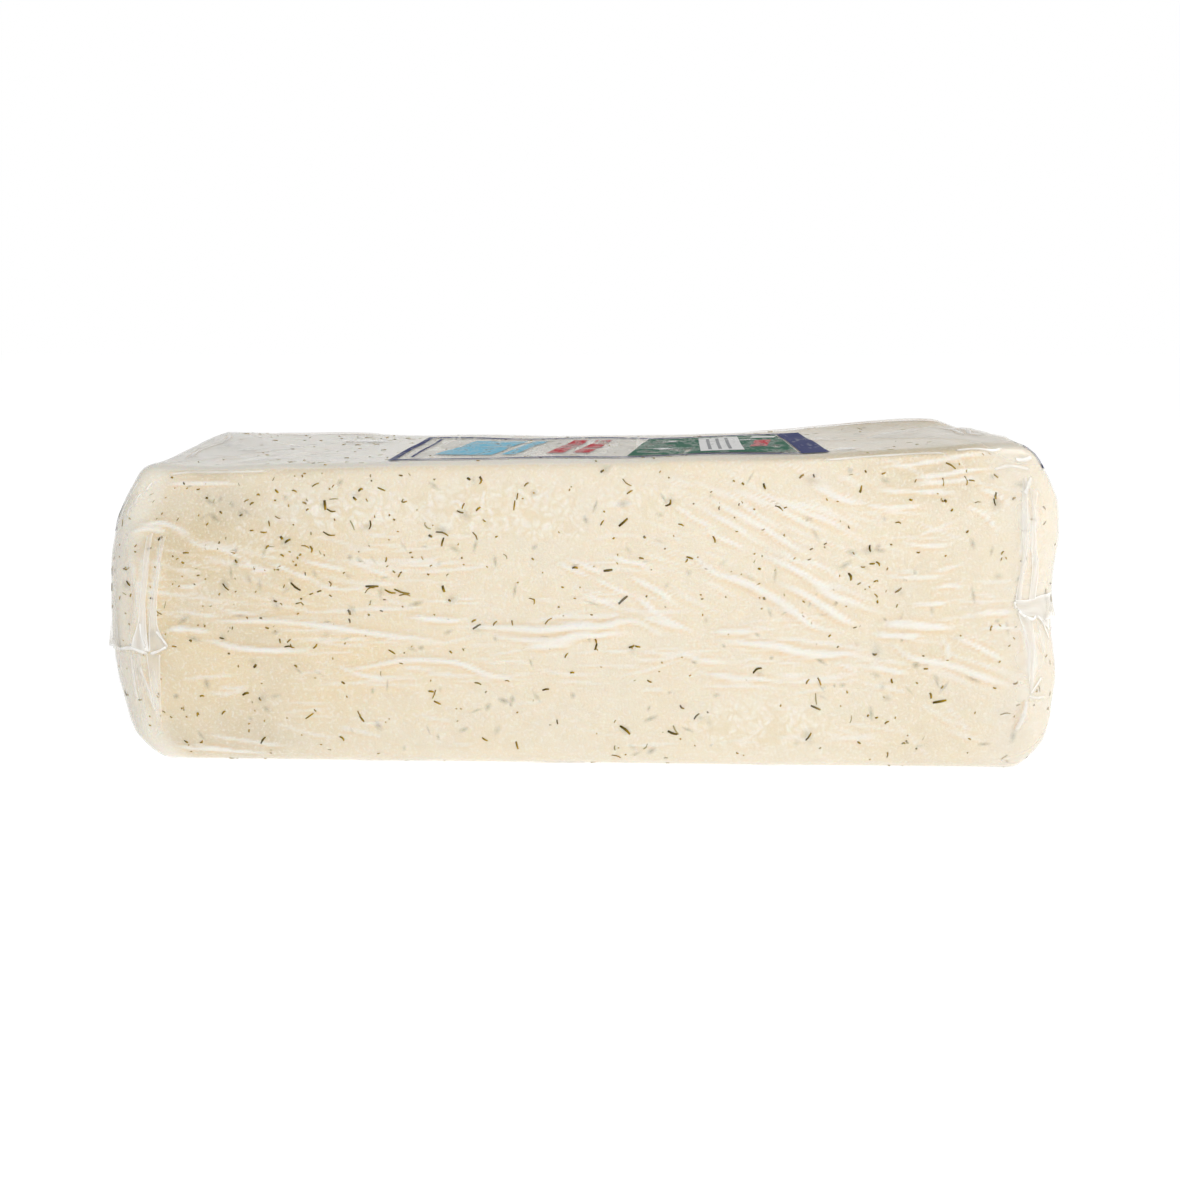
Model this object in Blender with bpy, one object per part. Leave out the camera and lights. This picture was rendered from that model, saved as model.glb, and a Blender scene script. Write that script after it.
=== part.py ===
"""A loaf of dill havarti in tight clear film, as one closed solid.

The loaf is a long block with rounded edges that has slumped a little: its ends lean in towards the
top, and its top face rises to the right. The film is shrunk on so closely that block and film have
one outer surface. What shows on it is relief: the flattened seal of the bag round each end, the
pleats that gather into that seal, and the creases that the slack film left along the sides.

Units are metres. X runs along the loaf, Y from its front face to its back, Z up. The origin is in
the middle of the face that it rests on.
"""

import bmesh
import bpy
import numpy as np

MM = 0.001

LENGTH = 325 * MM
DEPTH = 118 * MM
HEIGHT = 106 * MM

BOTTOM_RADIUS = 7 * MM
UPRIGHT_RADIUS = 15 * MM
TOP_RADIUS = 4 * MM

# Length of the end stretch that leans, counted from each end face.
LEAN_REACH = 62 * MM

# How far each end is set in from its full length, as (height, set-in) in mm.
LEFT_LEAN = (
    (0, 15.5), (4, 13.6), (10, 8.6), (21, 3.6), (42, 0.9),
    (62, 1.3), (77, 2.8), (88, 6.8), (97, 12.4), (102, 15.4), (106, 17.5),
)
RIGHT_LEAN = (
    (0, 8.6), (4, 7.4), (10, 3.2), (26, -1.2), (50, 1.8),
    (64, 1.8), (78, 0.8), (88, 3.2), (97, 8.8), (102, 12.2), (106, 16.0),
)

# The back of each end leans less than the front of it, by this share at the back face.
LEFT_BACK_LESS, RIGHT_BACK_LESS = 0.46, 0.70

# Height of the top face along its front and back edges, as (x, height) in mm.
FRONT_TOP = ((-162, 103), (-120, 103.1), (-65, 104.4), (57, 107), (99, 108.5), (122, 110.1), (145, 111.2), (162, 111.3))
BACK_TOP = ((-162, 106.4), (-63, 105.6), (50, 106.3), (100, 108.6), (138, 110.2), (162, 107.6))

# The bag's seals lie flat round the ends, this high on the left and on the right.
LEFT_SEAL_Z = 40 * MM
RIGHT_SEAL_Z = 56 * MM
SEAL_LIP = 1.5 * MM
SEAL_WIDTH = 9 * MM
EAR_REACH = 21 * MM

PLEAT_HEIGHT = 0.8 * MM
PLEAT_WIDTH = 1.5 * MM
PLEATS_PER_EAR = 5

FINE_STEP = 1.1 * MM
TRIANGLES = 10400


def clear_scene():
    for old in list(bpy.data.objects):
        bpy.data.objects.remove(old, do_unlink=True)


def smooth_step(low, high, value):
    """0 up to low, 1 from high on, and a smooth S between them."""
    t = np.clip((value - low) / (high - low), 0.0, 1.0)
    return t * t * (3.0 - 2.0 * t)


def along(stations, value_mm):
    """Reads a table of (station, value) at value_mm, easing smoothly between stations."""
    at = np.array([s for s, _ in stations], float)
    what = np.array([v for _, v in stations], float)
    slope = np.gradient(what, at)
    x = np.clip(value_mm, at[0], at[-1])
    i = np.clip(np.searchsorted(at, x) - 1, 0, len(at) - 2)
    span = at[i + 1] - at[i]
    t = (x - at[i]) / span
    return (
        what[i] * (1 + 2 * t) * (1 - t) ** 2
        + what[i + 1] * t * t * (3 - 2 * t)
        + span * (slope[i] * t * (1 - t) ** 2 - slope[i + 1] * t * t * (1 - t))
    )


def side_stations(half, radius):
    """Stations from -half to half: even steps on the flat, even turns round the two edges."""
    flat = half - radius
    count = max(2, round(2 * flat / FINE_STEP))
    turns = max(4, round(radius * np.pi / 4 / FINE_STEP))
    corner = flat + radius * np.tan(np.linspace(0, np.pi / 4, turns + 1)[1:])
    return np.concatenate([-corner[::-1], np.linspace(-flat, flat, count + 1), corner])


def edge_radius(height):
    """Radius of the rounding at a height: that of the bottom, the upright edges, then the top."""
    low = BOTTOM_RADIUS + (UPRIGHT_RADIUS - BOTTOM_RADIUS) * smooth_step(6 * MM, 26 * MM, height)
    return low + (TOP_RADIUS - UPRIGHT_RADIUS) * smooth_step(HEIGHT - 30 * MM, HEIGHT - 5 * MM, height)


def rounded(points):
    """Moves points of a sharp box onto the rounded one, and gives each its outward direction."""
    half = np.array([LENGTH, DEPTH, HEIGHT]) / 2
    radius = edge_radius(points[:, 2] + half[2])[:, None]
    core = np.clip(points, -(half - radius), half - radius)
    outward = points - core
    outward /= np.linalg.norm(outward, axis=1, keepdims=True)
    return core + radius * outward + [0, 0, half[2]], outward


def girth(points):
    """Place round the upright sides in mm: x along the front, then on round the right end.

    The left end carries on from the front's left edge with ever lower numbers, and the back runs on
    from the right end.
    """
    half_x, half_y = LENGTH / 2, DEPTH / 2
    x, y = points[:, 0], points[:, 1]
    on_end = half_x - np.abs(x) < half_y - np.abs(y)
    place = np.where(y < 0, x, 2 * half_x + 2 * half_y - x)
    place = np.where(on_end & (x > 0), half_x + half_y + y, place)
    return np.where(on_end & (x < 0), -half_x - half_y - y, place) / MM


def smooth_route(stations, steps=12):
    """A smooth curve (Catmull-Rom) through the stations, as points close together."""
    p = np.array(stations, float)
    p = np.vstack([2 * p[0] - p[1], p, 2 * p[-1] - p[-2]])
    t = np.linspace(0, 1, steps, endpoint=False)[:, None]
    runs = []
    for a, b, c, d in zip(p, p[1:], p[2:], p[3:]):
        curved = 2 * a - 5 * b + 4 * c - d
        twisted = 3 * b - a - 3 * c + d
        runs.append(b + ((c - a) * t + curved * t**2 + twisted * t**3) / 2)
    return np.vstack([*runs, p[-2:-1]])


def crease(place, stations, height, width):
    """Ridge of a fold in the film along a route, in mm: steeper below than above, fading at its ends.

    place holds each point's (girth, height) in mm, and the stations are in the same units. A broad,
    low foot lies under the ridge.
    """
    route = smooth_route(stations)
    share = np.linspace(0, 1, len(route))
    relief = np.zeros(len(place))
    reach = 4 * width
    low, high = route.min(0) - reach, route.max(0) + reach
    near = np.flatnonzero(np.all((place > low) & (place < high), axis=1))
    if not len(near):
        return relief
    spot = place[near]
    best = np.full(len(near), np.inf)
    side = np.zeros(len(near))
    where = np.zeros(len(near))
    for a, b, s in zip(route, route[1:], share):
        run = b - a
        length = np.hypot(*run)
        offset = spot - a
        t = np.clip(offset @ run / length**2, 0, 1)
        gap = np.linalg.norm(offset - t[:, None] * run, axis=1)
        closer = gap < best
        best = np.where(closer, gap, best)
        side = np.where(closer, np.sign(offset @ np.array([-run[1], run[0]])), side)
        where = np.where(closer, s, where)
    flank = np.where(side > 0, 1.3, 0.75) * width
    fade = np.clip(np.minimum(where, 1 - where) / 0.25, 0, 1) ** 0.7
    foot = 0.3 * np.exp(-((best / (2.4 * flank)) ** 2))
    relief[near] = height * fade * (0.7 * np.exp(-((best / flank) ** 2)) + foot)
    return relief


# Main creases on the front face, as stations (x, height) in mm with ridge height and half width.
FRONT_CREASES = (
    (((-131, 52), (-100, 50), (-70, 46), (-46, 41), (-30, 44)), 1.2, 1.5),
    (((-142, 44), (-128, 46), (-112, 45)), 0.9, 1.3),
    (((-130, 43), (-108, 41), (-90, 38), (-66, 31), (-36, 29)), 1.0, 1.5),
    (((-52, 46), (-28, 44), (-4, 46), (10, 45), (22, 43)), 0.9, 1.5),
    (((0, 45), (14, 42), (30, 42), (50, 43), (84, 38)), 1.0, 1.6),
    (((-14, 71), (6, 63), (22, 54), (34, 45)), 0.8, 1.5),
    (((16, 79), (40, 69), (60, 62), (78, 50), (88, 46)), 1.0, 1.5),
    (((52, 76), (68, 70), (84, 60), (98, 52), (108, 50)), 1.1, 1.5),
    (((36, 90), (60, 79), (92, 70), (104, 64)), 0.8, 1.4),
    (((62, 88), (84, 80), (100, 75)), 0.8, 1.4),
    (((84, 46), (108, 49), (130, 50), (146, 52)), 1.0, 1.6),
    (((82, 41), (96, 39), (120, 37), (134, 30), (150, 26)), 1.2, 1.6),
    (((118, 45), (132, 39), (142, 35)), 0.8, 1.4),
    (((30, 37), (44, 31), (60, 29)), 0.7, 1.4),
    (((88, 103), (110, 99), (134, 102), (150, 100)), 0.7, 1.6),
    (((84, 96), (106, 92), (130, 93), (148, 98)), 0.8, 1.6),
    (((-154, 81), (-146, 84), (-134, 80), (-126, 76)), 0.9, 1.5),
    (((-148, 10), (-120, 6), (-92, 4)), 0.8, 1.5),
)

# The back has a plainer set, from ear to ear at mid height.
BACK_CREASES = (
    (((292, 54), (330, 50), (372, 47), (400, 50)), 1.1, 1.6),
    (((380, 44), (420, 47), (470, 40), (510, 42)), 1.1, 1.6),
    (((462, 50), (500, 46), (540, 42), (584, 42)), 1.0, 1.6),
    (((300, 62), (350, 72), (392, 84)), 0.8, 1.5),
    (((310, 46), (360, 34), (410, 26)), 0.8, 1.5),
    (((520, 52), (552, 62), (584, 70)), 0.8, 1.5),
)


def seal(place, corner, towards, height_mm, slope):
    """Flattened seal round one end, in mm: a ledge, crisp below, that thins out upwards.

    It crosses the end face and reaches EAR_REACH past each of that end's two corners. corner is the
    girth of the front one and towards is the direction of the end face from it. Film gathers in fine
    upright folds above and below the seal.
    """
    along_end = (place[:, 0] - corner) * towards
    width = DEPTH / MM
    ear = EAR_REACH / MM
    starts = smooth_step(-ear, 3 - ear, along_end)
    inside = starts * smooth_step(width + ear, width + ear - 3, along_end)
    rise = place[:, 1] - height_mm - slope * np.clip(-along_end, 0, ear)
    band = SEAL_WIDTH / MM
    ledge = smooth_step(-1.0, 0.2, rise) * (1 - smooth_step(0.3 * band, band, rise))
    on_end = smooth_step(0, 14, along_end) * smooth_step(width, width - 14, along_end)
    folds = np.sin(along_end / 1.25 + 1.5 * np.sin(along_end / 9))
    gathers = 0.5 * folds * np.exp(-((rise / 17) ** 2))
    return SEAL_LIP / MM * inside * ledge + gathers * on_end


def pleats(place, corner, towards, seal_mm):
    """Pleats fanning up and down from each ear, closest together at the seal."""
    relief = np.zeros(len(place))
    width = DEPTH / MM
    for centre, sign in ((corner - 8 * towards, -towards), (corner + towards * (width + 8), towards)):
        for i in range(PLEATS_PER_EAR):
            lane = (i - (PLEATS_PER_EAR - 1) / 2) * sign
            for up, reach in ((1, 38 + 4 * (i % 3)), (-1, 30 - 4 * (i % 2))):
                foot = (centre + lane * 3.0, seal_mm + 2 * up)
                middle = (centre + lane * 4.6, seal_mm + up * reach * 0.55)
                head = (centre + lane * 5.6, seal_mm + up * reach)
                relief += crease(place, (foot, middle, head), PLEAT_HEIGHT / MM, PLEAT_WIDTH / MM)
    return relief


def side_relief(points, outward):
    """Relief of the film on the four upright sides, in metres. It fades out at top and bottom."""
    place = np.column_stack([girth(points), (points[:, 2] + HEIGHT / 2) / MM])
    relief = np.zeros(len(points))
    for stations, height, width in FRONT_CREASES + BACK_CREASES:
        relief += crease(place, stations, height, width)
    half = LENGTH / 2 / MM
    left_z, right_z = LEFT_SEAL_Z / MM, RIGHT_SEAL_Z / MM
    wrap = 4 * half + 2 * DEPTH / MM
    for turn in (0, wrap):
        left = np.column_stack([place[:, 0] - turn, place[:, 1]])
        relief += seal(left, -half, -1, left_z, 0)
        relief += pleats(left, -half, -1, left_z)
    relief += seal(place, half, 1, right_z, -0.12)
    relief += pleats(place, half, 1, right_z)
    upright = smooth_step(0.25, 0.8, np.hypot(outward[:, 0], outward[:, 1]))
    return MM * relief * upright


def top_relief(points, outward):
    """Relief of the film on the top: slack along the back right and right edges, and ripples."""
    x, y = points[:, 0] / MM, points[:, 1] / MM
    slack = 2.2 * smooth_step(60, 132, x) * smooth_step(158, 143, x) * np.exp(-(((y - 50) / 7) ** 2))
    end_slack = 1.2 * smooth_step(-56, -36, y) * smooth_step(60, 40, y) * np.exp(-(((x - 158) / 7) ** 2))
    ripples = 0.3 * np.sin(x / 9.0 + 1.3 * np.sin(y / 17.0)) * np.sin(y / 21.0 + x / 70.0)
    return MM * (np.maximum(slack, end_slack) + ripples) * smooth_step(0.3, 0.9, outward[:, 2])


def slumped(points):
    """The slump of the block: the ends lean in, the top slopes, and the faces bow a little."""
    x, y, z = points.T
    height_mm = np.clip(z, 0, HEIGHT) / MM
    at_left = smooth_step(LENGTH / 2 - LEAN_REACH, LENGTH / 2, -x)
    at_right = smooth_step(LENGTH / 2 - LEAN_REACH, LENGTH / 2, x)
    back = smooth_step(-0.5, 0.5, y / DEPTH)
    at_back = back * smooth_step(50, 100, height_mm)
    lean = at_left * along(LEFT_LEAN, height_mm) * (1 - LEFT_BACK_LESS * at_back)
    lean -= at_right * along(RIGHT_LEAN, height_mm) * (1 - RIGHT_BACK_LESS * at_back)
    middle = 1 - (2 * y / DEPTH) ** 2
    end_bow = 1.6 * middle * (at_right - at_left) * np.sin(np.pi * height_mm * MM / HEIGHT)
    top_mm = (1 - back) * along(FRONT_TOP, x / MM) + back * along(BACK_TOP, x / MM)
    side_bow = 0.9 * np.sin(np.pi * height_mm * MM / HEIGHT) * np.cos(np.pi * x / LENGTH)
    uneven = 0.35 * np.sin(x / (31 * MM)) * np.sin(height_mm / 13 + x / (60 * MM))
    y_new = y + MM * (side_bow + uneven) * np.clip(2 * y / DEPTH, -1, 1)
    return np.column_stack([x + MM * (lean + end_bow), y_new, z * top_mm * MM / HEIGHT])


def box_points():
    """Grids on the six faces of the sharp box, each as (points, rows, columns), facing out."""
    half_x, half_y, half_z = LENGTH / 2, DEPTH / 2, HEIGHT / 2
    xs = side_stations(half_x, UPRIGHT_RADIUS)
    ys = side_stations(half_y, UPRIGHT_RADIUS)
    zs = side_stations(half_z, BOTTOM_RADIUS)
    grids = []
    for across, up, place in (
        (xs, zs, lambda a, b: (a, -half_y, b)),
        (ys, zs, lambda a, b: (half_x, a, b)),
        (-xs, zs, lambda a, b: (a, half_y, b)),
        (-ys, zs, lambda a, b: (-half_x, a, b)),
        (xs, ys, lambda a, b: (a, b, half_z)),
        (xs, -ys, lambda a, b: (a, b, -half_z)),
    ):
        a, b = np.meshgrid(across, up)
        points = np.stack(np.broadcast_arrays(*place(a, b)), axis=-1).reshape(-1, 3)
        grids.append((points, len(up), len(across)))
    return grids


def grid_faces(first, rows, columns):
    corner = first + np.arange(rows - 1)[:, None] * columns + np.arange(columns - 1)
    return np.stack([corner, corner + 1, corner + columns + 1, corner + columns], axis=-1).reshape(-1, 4)


def loaf_mesh():
    """The whole outer surface, with the six grids joined along their shared edges."""
    boxes, faces, first = [], [], 0
    for points, rows, columns in box_points():
        boxes.append(points)
        faces.append(grid_faces(first, rows, columns))
        first += rows * columns
    box = np.vstack(boxes)
    points, outward = rounded(box)
    relief = side_relief(box, outward) + top_relief(points, outward)
    points = slumped(points + relief[:, None] * outward)
    middle = (points.min(0) + points.max(0)) / 2
    points -= [middle[0], middle[1], points[:, 2].min()]
    mesh = bpy.data.meshes.new("wrapped_loaf")
    mesh.from_pydata(points.tolist(), [], np.vstack(faces).tolist())
    welded = bmesh.new()
    welded.from_mesh(mesh)
    bmesh.ops.remove_doubles(welded, verts=welded.verts, dist=0.01 * MM)
    bmesh.ops.triangulate(welded, faces=welded.faces)
    welded.to_mesh(mesh)
    welded.free()
    return mesh


def film_over_cheese():
    """Cream cheese seen through clear glossy film."""
    material = bpy.data.materials.new("film_over_cheese")
    material.use_nodes = True
    shader = material.node_tree.nodes["Principled BSDF"]
    shader.inputs["Base Color"].default_value = (0.86, 0.78, 0.60, 1.0)
    shader.inputs["Roughness"].default_value = 0.28
    shader.inputs["Metallic"].default_value = 0.0
    return material


def make_loaf():
    mesh = loaf_mesh()
    loaf = bpy.data.objects.new("wrapped_loaf", mesh)
    bpy.context.scene.collection.objects.link(loaf)
    mesh.materials.append(film_over_cheese())
    # Few, large triangles on the plain faces and small ones along the folds.
    thinner = loaf.modifiers.new("thin_out", "DECIMATE")
    thinner.ratio = TRIANGLES / len(mesh.polygons)
    return loaf


clear_scene()
make_loaf()
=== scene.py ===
# %% [markdown]
# # A loaf of dill havarti in clear film
# The real thing is a long block of soft, cream-coloured cheese with chopped dill all through it. It
# is sealed in a clear bag that was shrunk in hot water, so the film lies on the cheese like a skin.
# The slack of the bag is left over as white creases, and the bag's flat seals lie round both ends.
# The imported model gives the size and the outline. This lesson makes each thing that shows on it as
# a piece of its own: cheese, film, creases, seals, dill and the print on the film.

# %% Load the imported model
import math

import bpy
import numpy as np
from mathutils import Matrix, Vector


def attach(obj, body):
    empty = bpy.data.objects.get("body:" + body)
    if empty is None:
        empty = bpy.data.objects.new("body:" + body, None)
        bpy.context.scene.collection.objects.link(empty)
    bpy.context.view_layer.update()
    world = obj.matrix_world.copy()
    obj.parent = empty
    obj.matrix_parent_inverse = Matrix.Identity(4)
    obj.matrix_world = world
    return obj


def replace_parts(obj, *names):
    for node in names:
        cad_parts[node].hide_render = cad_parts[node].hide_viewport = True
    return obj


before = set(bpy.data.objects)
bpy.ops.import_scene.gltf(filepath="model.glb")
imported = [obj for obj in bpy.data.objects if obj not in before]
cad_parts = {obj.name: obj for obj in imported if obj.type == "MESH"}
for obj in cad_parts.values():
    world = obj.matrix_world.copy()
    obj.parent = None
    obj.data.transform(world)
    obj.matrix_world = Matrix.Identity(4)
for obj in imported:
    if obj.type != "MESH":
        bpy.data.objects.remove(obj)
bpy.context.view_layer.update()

print("packed nodes:", sorted(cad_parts))

# %% [markdown]
# ## Camera
# The view comes first, because all the rest is seen through it. The photograph looks down on the
# front face by about eleven degrees, from half a metre away, so the top shows as a thin strip. A
# short distance like this makes the top taper visibly, and a long lens from far away would not.

# %% Camera at the photograph's angle
PHOTO_PIXELS, FOCAL_PIXELS = 1180, 1328.7
CAMERA_PLACE = (0.021, -0.4938, 0.14435)
CAMERA_TILT, CAMERA_TURN = math.radians(10.7), math.radians(2.11)
SENSOR_WIDTH = 36.0
NEAREST_SEEN = 0.01


def show(thing, name):
    """Puts a mesh, lamp or camera into the scene as an object of that name."""
    holder = bpy.data.objects.new(name, thing)
    bpy.context.scene.collection.objects.link(holder)
    return holder


def aim(holder, place, forward):
    """Stands at a place and looks along forward, with the upper side up."""
    holder.location = place
    holder.rotation_euler = forward.to_track_quat("-Z", "Y").to_euler()


def place_camera():
    """Looks along the tilt and the turn: forward is level along +Y, turned left and tipped down."""
    lens = bpy.data.cameras.new("camera")
    lens.sensor_width, lens.clip_start = SENSOR_WIDTH, NEAREST_SEEN
    lens.lens = SENSOR_WIDTH * FOCAL_PIXELS / PHOTO_PIXELS
    level, down = math.cos(CAMERA_TILT), -math.sin(CAMERA_TILT)
    forward = Vector((-math.sin(CAMERA_TURN) * level, math.cos(CAMERA_TURN) * level, down))
    bpy.context.scene.camera = show(lens, "camera")
    aim(bpy.context.scene.camera, CAMERA_PLACE, forward)
    print("camera looks along", [round(v, 3) for v in forward], "with a", round(lens.lens, 1), "mm lens")


place_camera()

# %% [markdown]
# ## Node helpers
# Materials are built from nodes in code. A few small helpers keep that readable. One adds a node
# with its inputs, where an input is a value or the socket that feeds it. The rest are the steps
# that come back in every finish: a sum, a product, a mix of two colours and a smooth ramp.

# %% Add and link nodes
def add(tree, kind, inputs=None, **settings):
    """Adds a node, sets its options, and gives each named input a value or a link."""
    node = tree.nodes.new(kind)
    for name, value in settings.items():
        setattr(node, name, value)
    for name, value in (inputs or {}).items():
        if isinstance(value, bpy.types.NodeSocket):
            tree.links.new(value, node.inputs[name])
        else:
            node.inputs[name].default_value = value
    return node


def calc(tree, operation, first, second, clamp=False):
    """One step of arithmetic on two values or sockets."""
    inputs = {0: first, 1: second}
    return add(tree, "ShaderNodeMath", inputs, operation=operation, use_clamp=clamp).outputs[0]


def times(tree, first, second, clamp=False):
    """Product of two values or sockets."""
    return calc(tree, "MULTIPLY", first, second, clamp)


def plus(tree, first, second, clamp=False):
    """Sum of two values or sockets."""
    return calc(tree, "ADD", first, second, clamp)


def made(*helpers):
    """Says which helpers a cell has made."""
    print("helpers:", ", ".join(helper.__name__ for helper in helpers))


made(add, calc, times, plus)

# %% Mix colours, ramp values and start a material
def mixed(tree, share, first, second, blend="MIX"):
    """Colour that is first where share is 0 and second where it is 1."""
    first, second = ((*v, 1.0) if isinstance(v, tuple) else v for v in (first, second))
    inputs = {0: share, 6: first, 7: second}
    return add(tree, "ShaderNodeMix", inputs, data_type="RGBA", blend_type=blend).outputs[2]


def ramped(tree, value, low, high, to_low=0.0, to_high=1.0):
    """Stretches low..high to to_low..to_high with smooth ends, and holds both ends."""
    inputs = {"Value": value, "From Min": low, "From Max": high, "To Min": to_low, "To Max": to_high}
    return add(tree, "ShaderNodeMapRange", inputs, interpolation_type="SMOOTHSTEP").outputs[0]


def start_material(name, **plain):
    """A material with a Principled shader; Coat_Weight=1 sets its socket "Coat Weight"."""
    material = bpy.data.materials.new(name)
    material.use_nodes = True
    tree = material.node_tree
    shader = tree.nodes["Principled BSDF"]
    for label, value in plain.items():
        shader.inputs[label.replace("_", " ")].default_value = value
    return material, tree, shader


made(mixed, ramped, start_material)

# %% [markdown]
# ## Studio
# The loaf was photographed in a white tent: bright walls low down all round, a dimmer ceiling, and
# one large soft lamp at the front right. The walls matter, because at this flat angle the film on
# top mirrors the far wall and turns paler. A world that dims towards the ceiling gives them, with
# no extra panels. The floor glows a little, as a lit table does, so the shadow on it stays faint.

# %% White tent, soft lamp and floor
WALL_BEHIND_LOAF, WALL_BEHIND_CAMERA, CEILING_SHARE = 1.0, 0.44, 0.46
LAMP_POWER, LAMP_SIZE, LAMP_COLOUR = 9.6, 0.55, (1.0, 0.985, 0.96)
LAMP_PLACE, LAMP_AIM = (0.62, -0.95, 0.80), (0.02, -0.05, 0.05)
FLOOR_HALF_WIDTH, FLOOR_GAP = 12.0, 0.0002
FLOOR_GLOW, FLOOR_PAINT, WHITE = 0.84, (0.36, 0.36, 0.355, 1.0), (1.0, 1.0, 1.0, 1.0)


def white_tent():
    """Brightness by direction only: one step from front to back and one from the walls up."""
    world = bpy.data.worlds.new("white_tent")
    bpy.context.scene.world = world
    world.use_nodes = True
    tree = world.node_tree
    tree.nodes.clear()
    direction = add(tree, "ShaderNodeSeparateXYZ", {0: add(tree, "ShaderNodeTexCoord").outputs["Generated"]})
    walls = ramped(tree, direction.outputs["Y"], -0.3, 0.35, WALL_BEHIND_CAMERA, WALL_BEHIND_LOAF)
    upwards = ramped(tree, direction.outputs["Z"], 0.30, 0.85, 1.0, CEILING_SHARE)
    glow = add(tree, "ShaderNodeBackground", {"Color": WHITE, "Strength": times(tree, walls, upwards)})
    add(tree, "ShaderNodeOutputWorld", {"Surface": glow.outputs[0]})


def soft_lamp():
    """A square of light that points from its place at the front of the loaf."""
    lamp = bpy.data.lights.new("soft_lamp", "AREA")
    lamp.energy, lamp.size, lamp.color = LAMP_POWER, LAMP_SIZE, LAMP_COLOUR
    aim(show(lamp, "soft_lamp"), LAMP_PLACE, Vector(LAMP_AIM) - Vector(LAMP_PLACE))


def pale_floor():
    """A flat square just under the loaf, far wider than the view, that glows a little."""
    mesh = bpy.data.meshes.new("floor")
    corners = FLOOR_HALF_WIDTH * np.array([[-1, -1, 0], [1, -1, 0], [1, 1, 0], [-1, 1, 0]])
    mesh.from_pydata((corners - [0, 0, FLOOR_GAP]).tolist(), [], [(0, 1, 2, 3)])
    mesh.materials.append(start_material(
        "pale_floor", Base_Color=FLOOR_PAINT, Roughness=0.9, Specular_IOR_Level=0.0,
        Emission_Color=WHITE, Emission_Strength=FLOOR_GLOW,
    )[0])
    show(mesh, "floor")


white_tent()
soft_lamp()
pale_floor()
bpy.context.scene.view_settings.view_transform = "Standard"
print("lamp of", LAMP_POWER, "W at", LAMP_PLACE, "in a white tent")

# %% [markdown]
# ## The block's shape
# The block is a box with round edges that has slumped: both ends lean in towards the top, and the
# top climbs to the right. It could be sculpted by hand, but everything else here must lie on
# exactly the same skin. So the shape is a function: it takes a point of a plain box and says where
# that point is on the loaf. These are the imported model's own sizes, now in millimetres.

# %% Sizes of the loaf in mm
MM = 0.001
LENGTH, DEPTH, HEIGHT = 325.0, 118.0, 106.0
HALF = np.array([LENGTH, DEPTH, HEIGHT]) / 2
BOTTOM_RADIUS, UPRIGHT_RADIUS, TOP_RADIUS = 7.0, 15.0, 4.0
LEAN_REACH = 62.0
LEFT_BACK_LESS, RIGHT_BACK_LESS = 0.46, 0.70
END_BOW, SIDE_BOW, UNEVENNESS = 1.6, 0.9, 0.35

# How far each end is set in, as (height, set-in).
LEFT_LEAN = (
    (0, 15.5), (4, 13.6), (10, 8.6), (21, 3.6), (42, 0.9),
    (62, 1.3), (77, 2.8), (88, 6.8), (97, 12.4), (102, 15.4), (106, 17.5),
)
RIGHT_LEAN = (
    (0, 8.6), (4, 7.4), (10, 3.2), (26, -1.2), (50, 1.8),
    (64, 1.8), (78, 0.8), (88, 3.2), (97, 8.8), (102, 12.2), (106, 16.0),
)

# Height of the top along its front and back edges, as (x, height).
FRONT_TOP = (
    (-162, 103), (-120, 103.1), (-65, 104.4), (57, 107),
    (99, 108.5), (122, 110.1), (145, 111.2), (162, 111.3),
)
BACK_TOP = ((-162, 106.4), (-63, 105.6), (50, 106.3), (100, 108.6), (138, 110.2), (162, 107.6))


def smooth_step(low, high, value):
    """0 up to low, 1 from high on, and a smooth S between them."""
    t = np.clip((value - low) / (high - low), 0.0, 1.0)
    return t * t * (3.0 - 2.0 * t)


def along(stations, value):
    """Reads a table of (station, height) at value: a cubic eases from one station to the next."""
    at, what = np.array(stations, float).T
    slope = np.gradient(what, at)
    x = np.clip(value, at[0], at[-1])
    i = np.clip(np.searchsorted(at, x) - 1, 0, len(at) - 2)
    span = at[i + 1] - at[i]
    t = (x - at[i]) / span
    ends = what[i] * (1 + 2 * t) * (1 - t) ** 2 + what[i + 1] * t * t * (3 - 2 * t)
    return ends + span * (slope[i] * t * (1 - t) ** 2 - slope[i + 1] * t * t * (1 - t))


print("a block of", HALF * 2, "mm; its top lies at", along(FRONT_TOP, np.array([-150, 0, 150])).round(1))

# %% Box to rounded block
def edge_radius(height):
    """Radius of the rounding at a height: that of the bottom, the upright edges, then the top."""
    low = BOTTOM_RADIUS + (UPRIGHT_RADIUS - BOTTOM_RADIUS) * smooth_step(6, 26, height)
    return low + (TOP_RADIUS - UPRIGHT_RADIUS) * smooth_step(HEIGHT - 30, HEIGHT - 5, height)


def rounded(box):
    """Rounds a box: clamp each point to a core that is one radius smaller, then step out by it."""
    radius = edge_radius(box[:, 2] + HALF[2])[:, None]
    core = np.clip(box, radius - HALF, HALF - radius)
    outward = box - core
    outward /= np.linalg.norm(outward, axis=1, keepdims=True)
    return core + radius * outward + [0, 0, HALF[2]], outward


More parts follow.
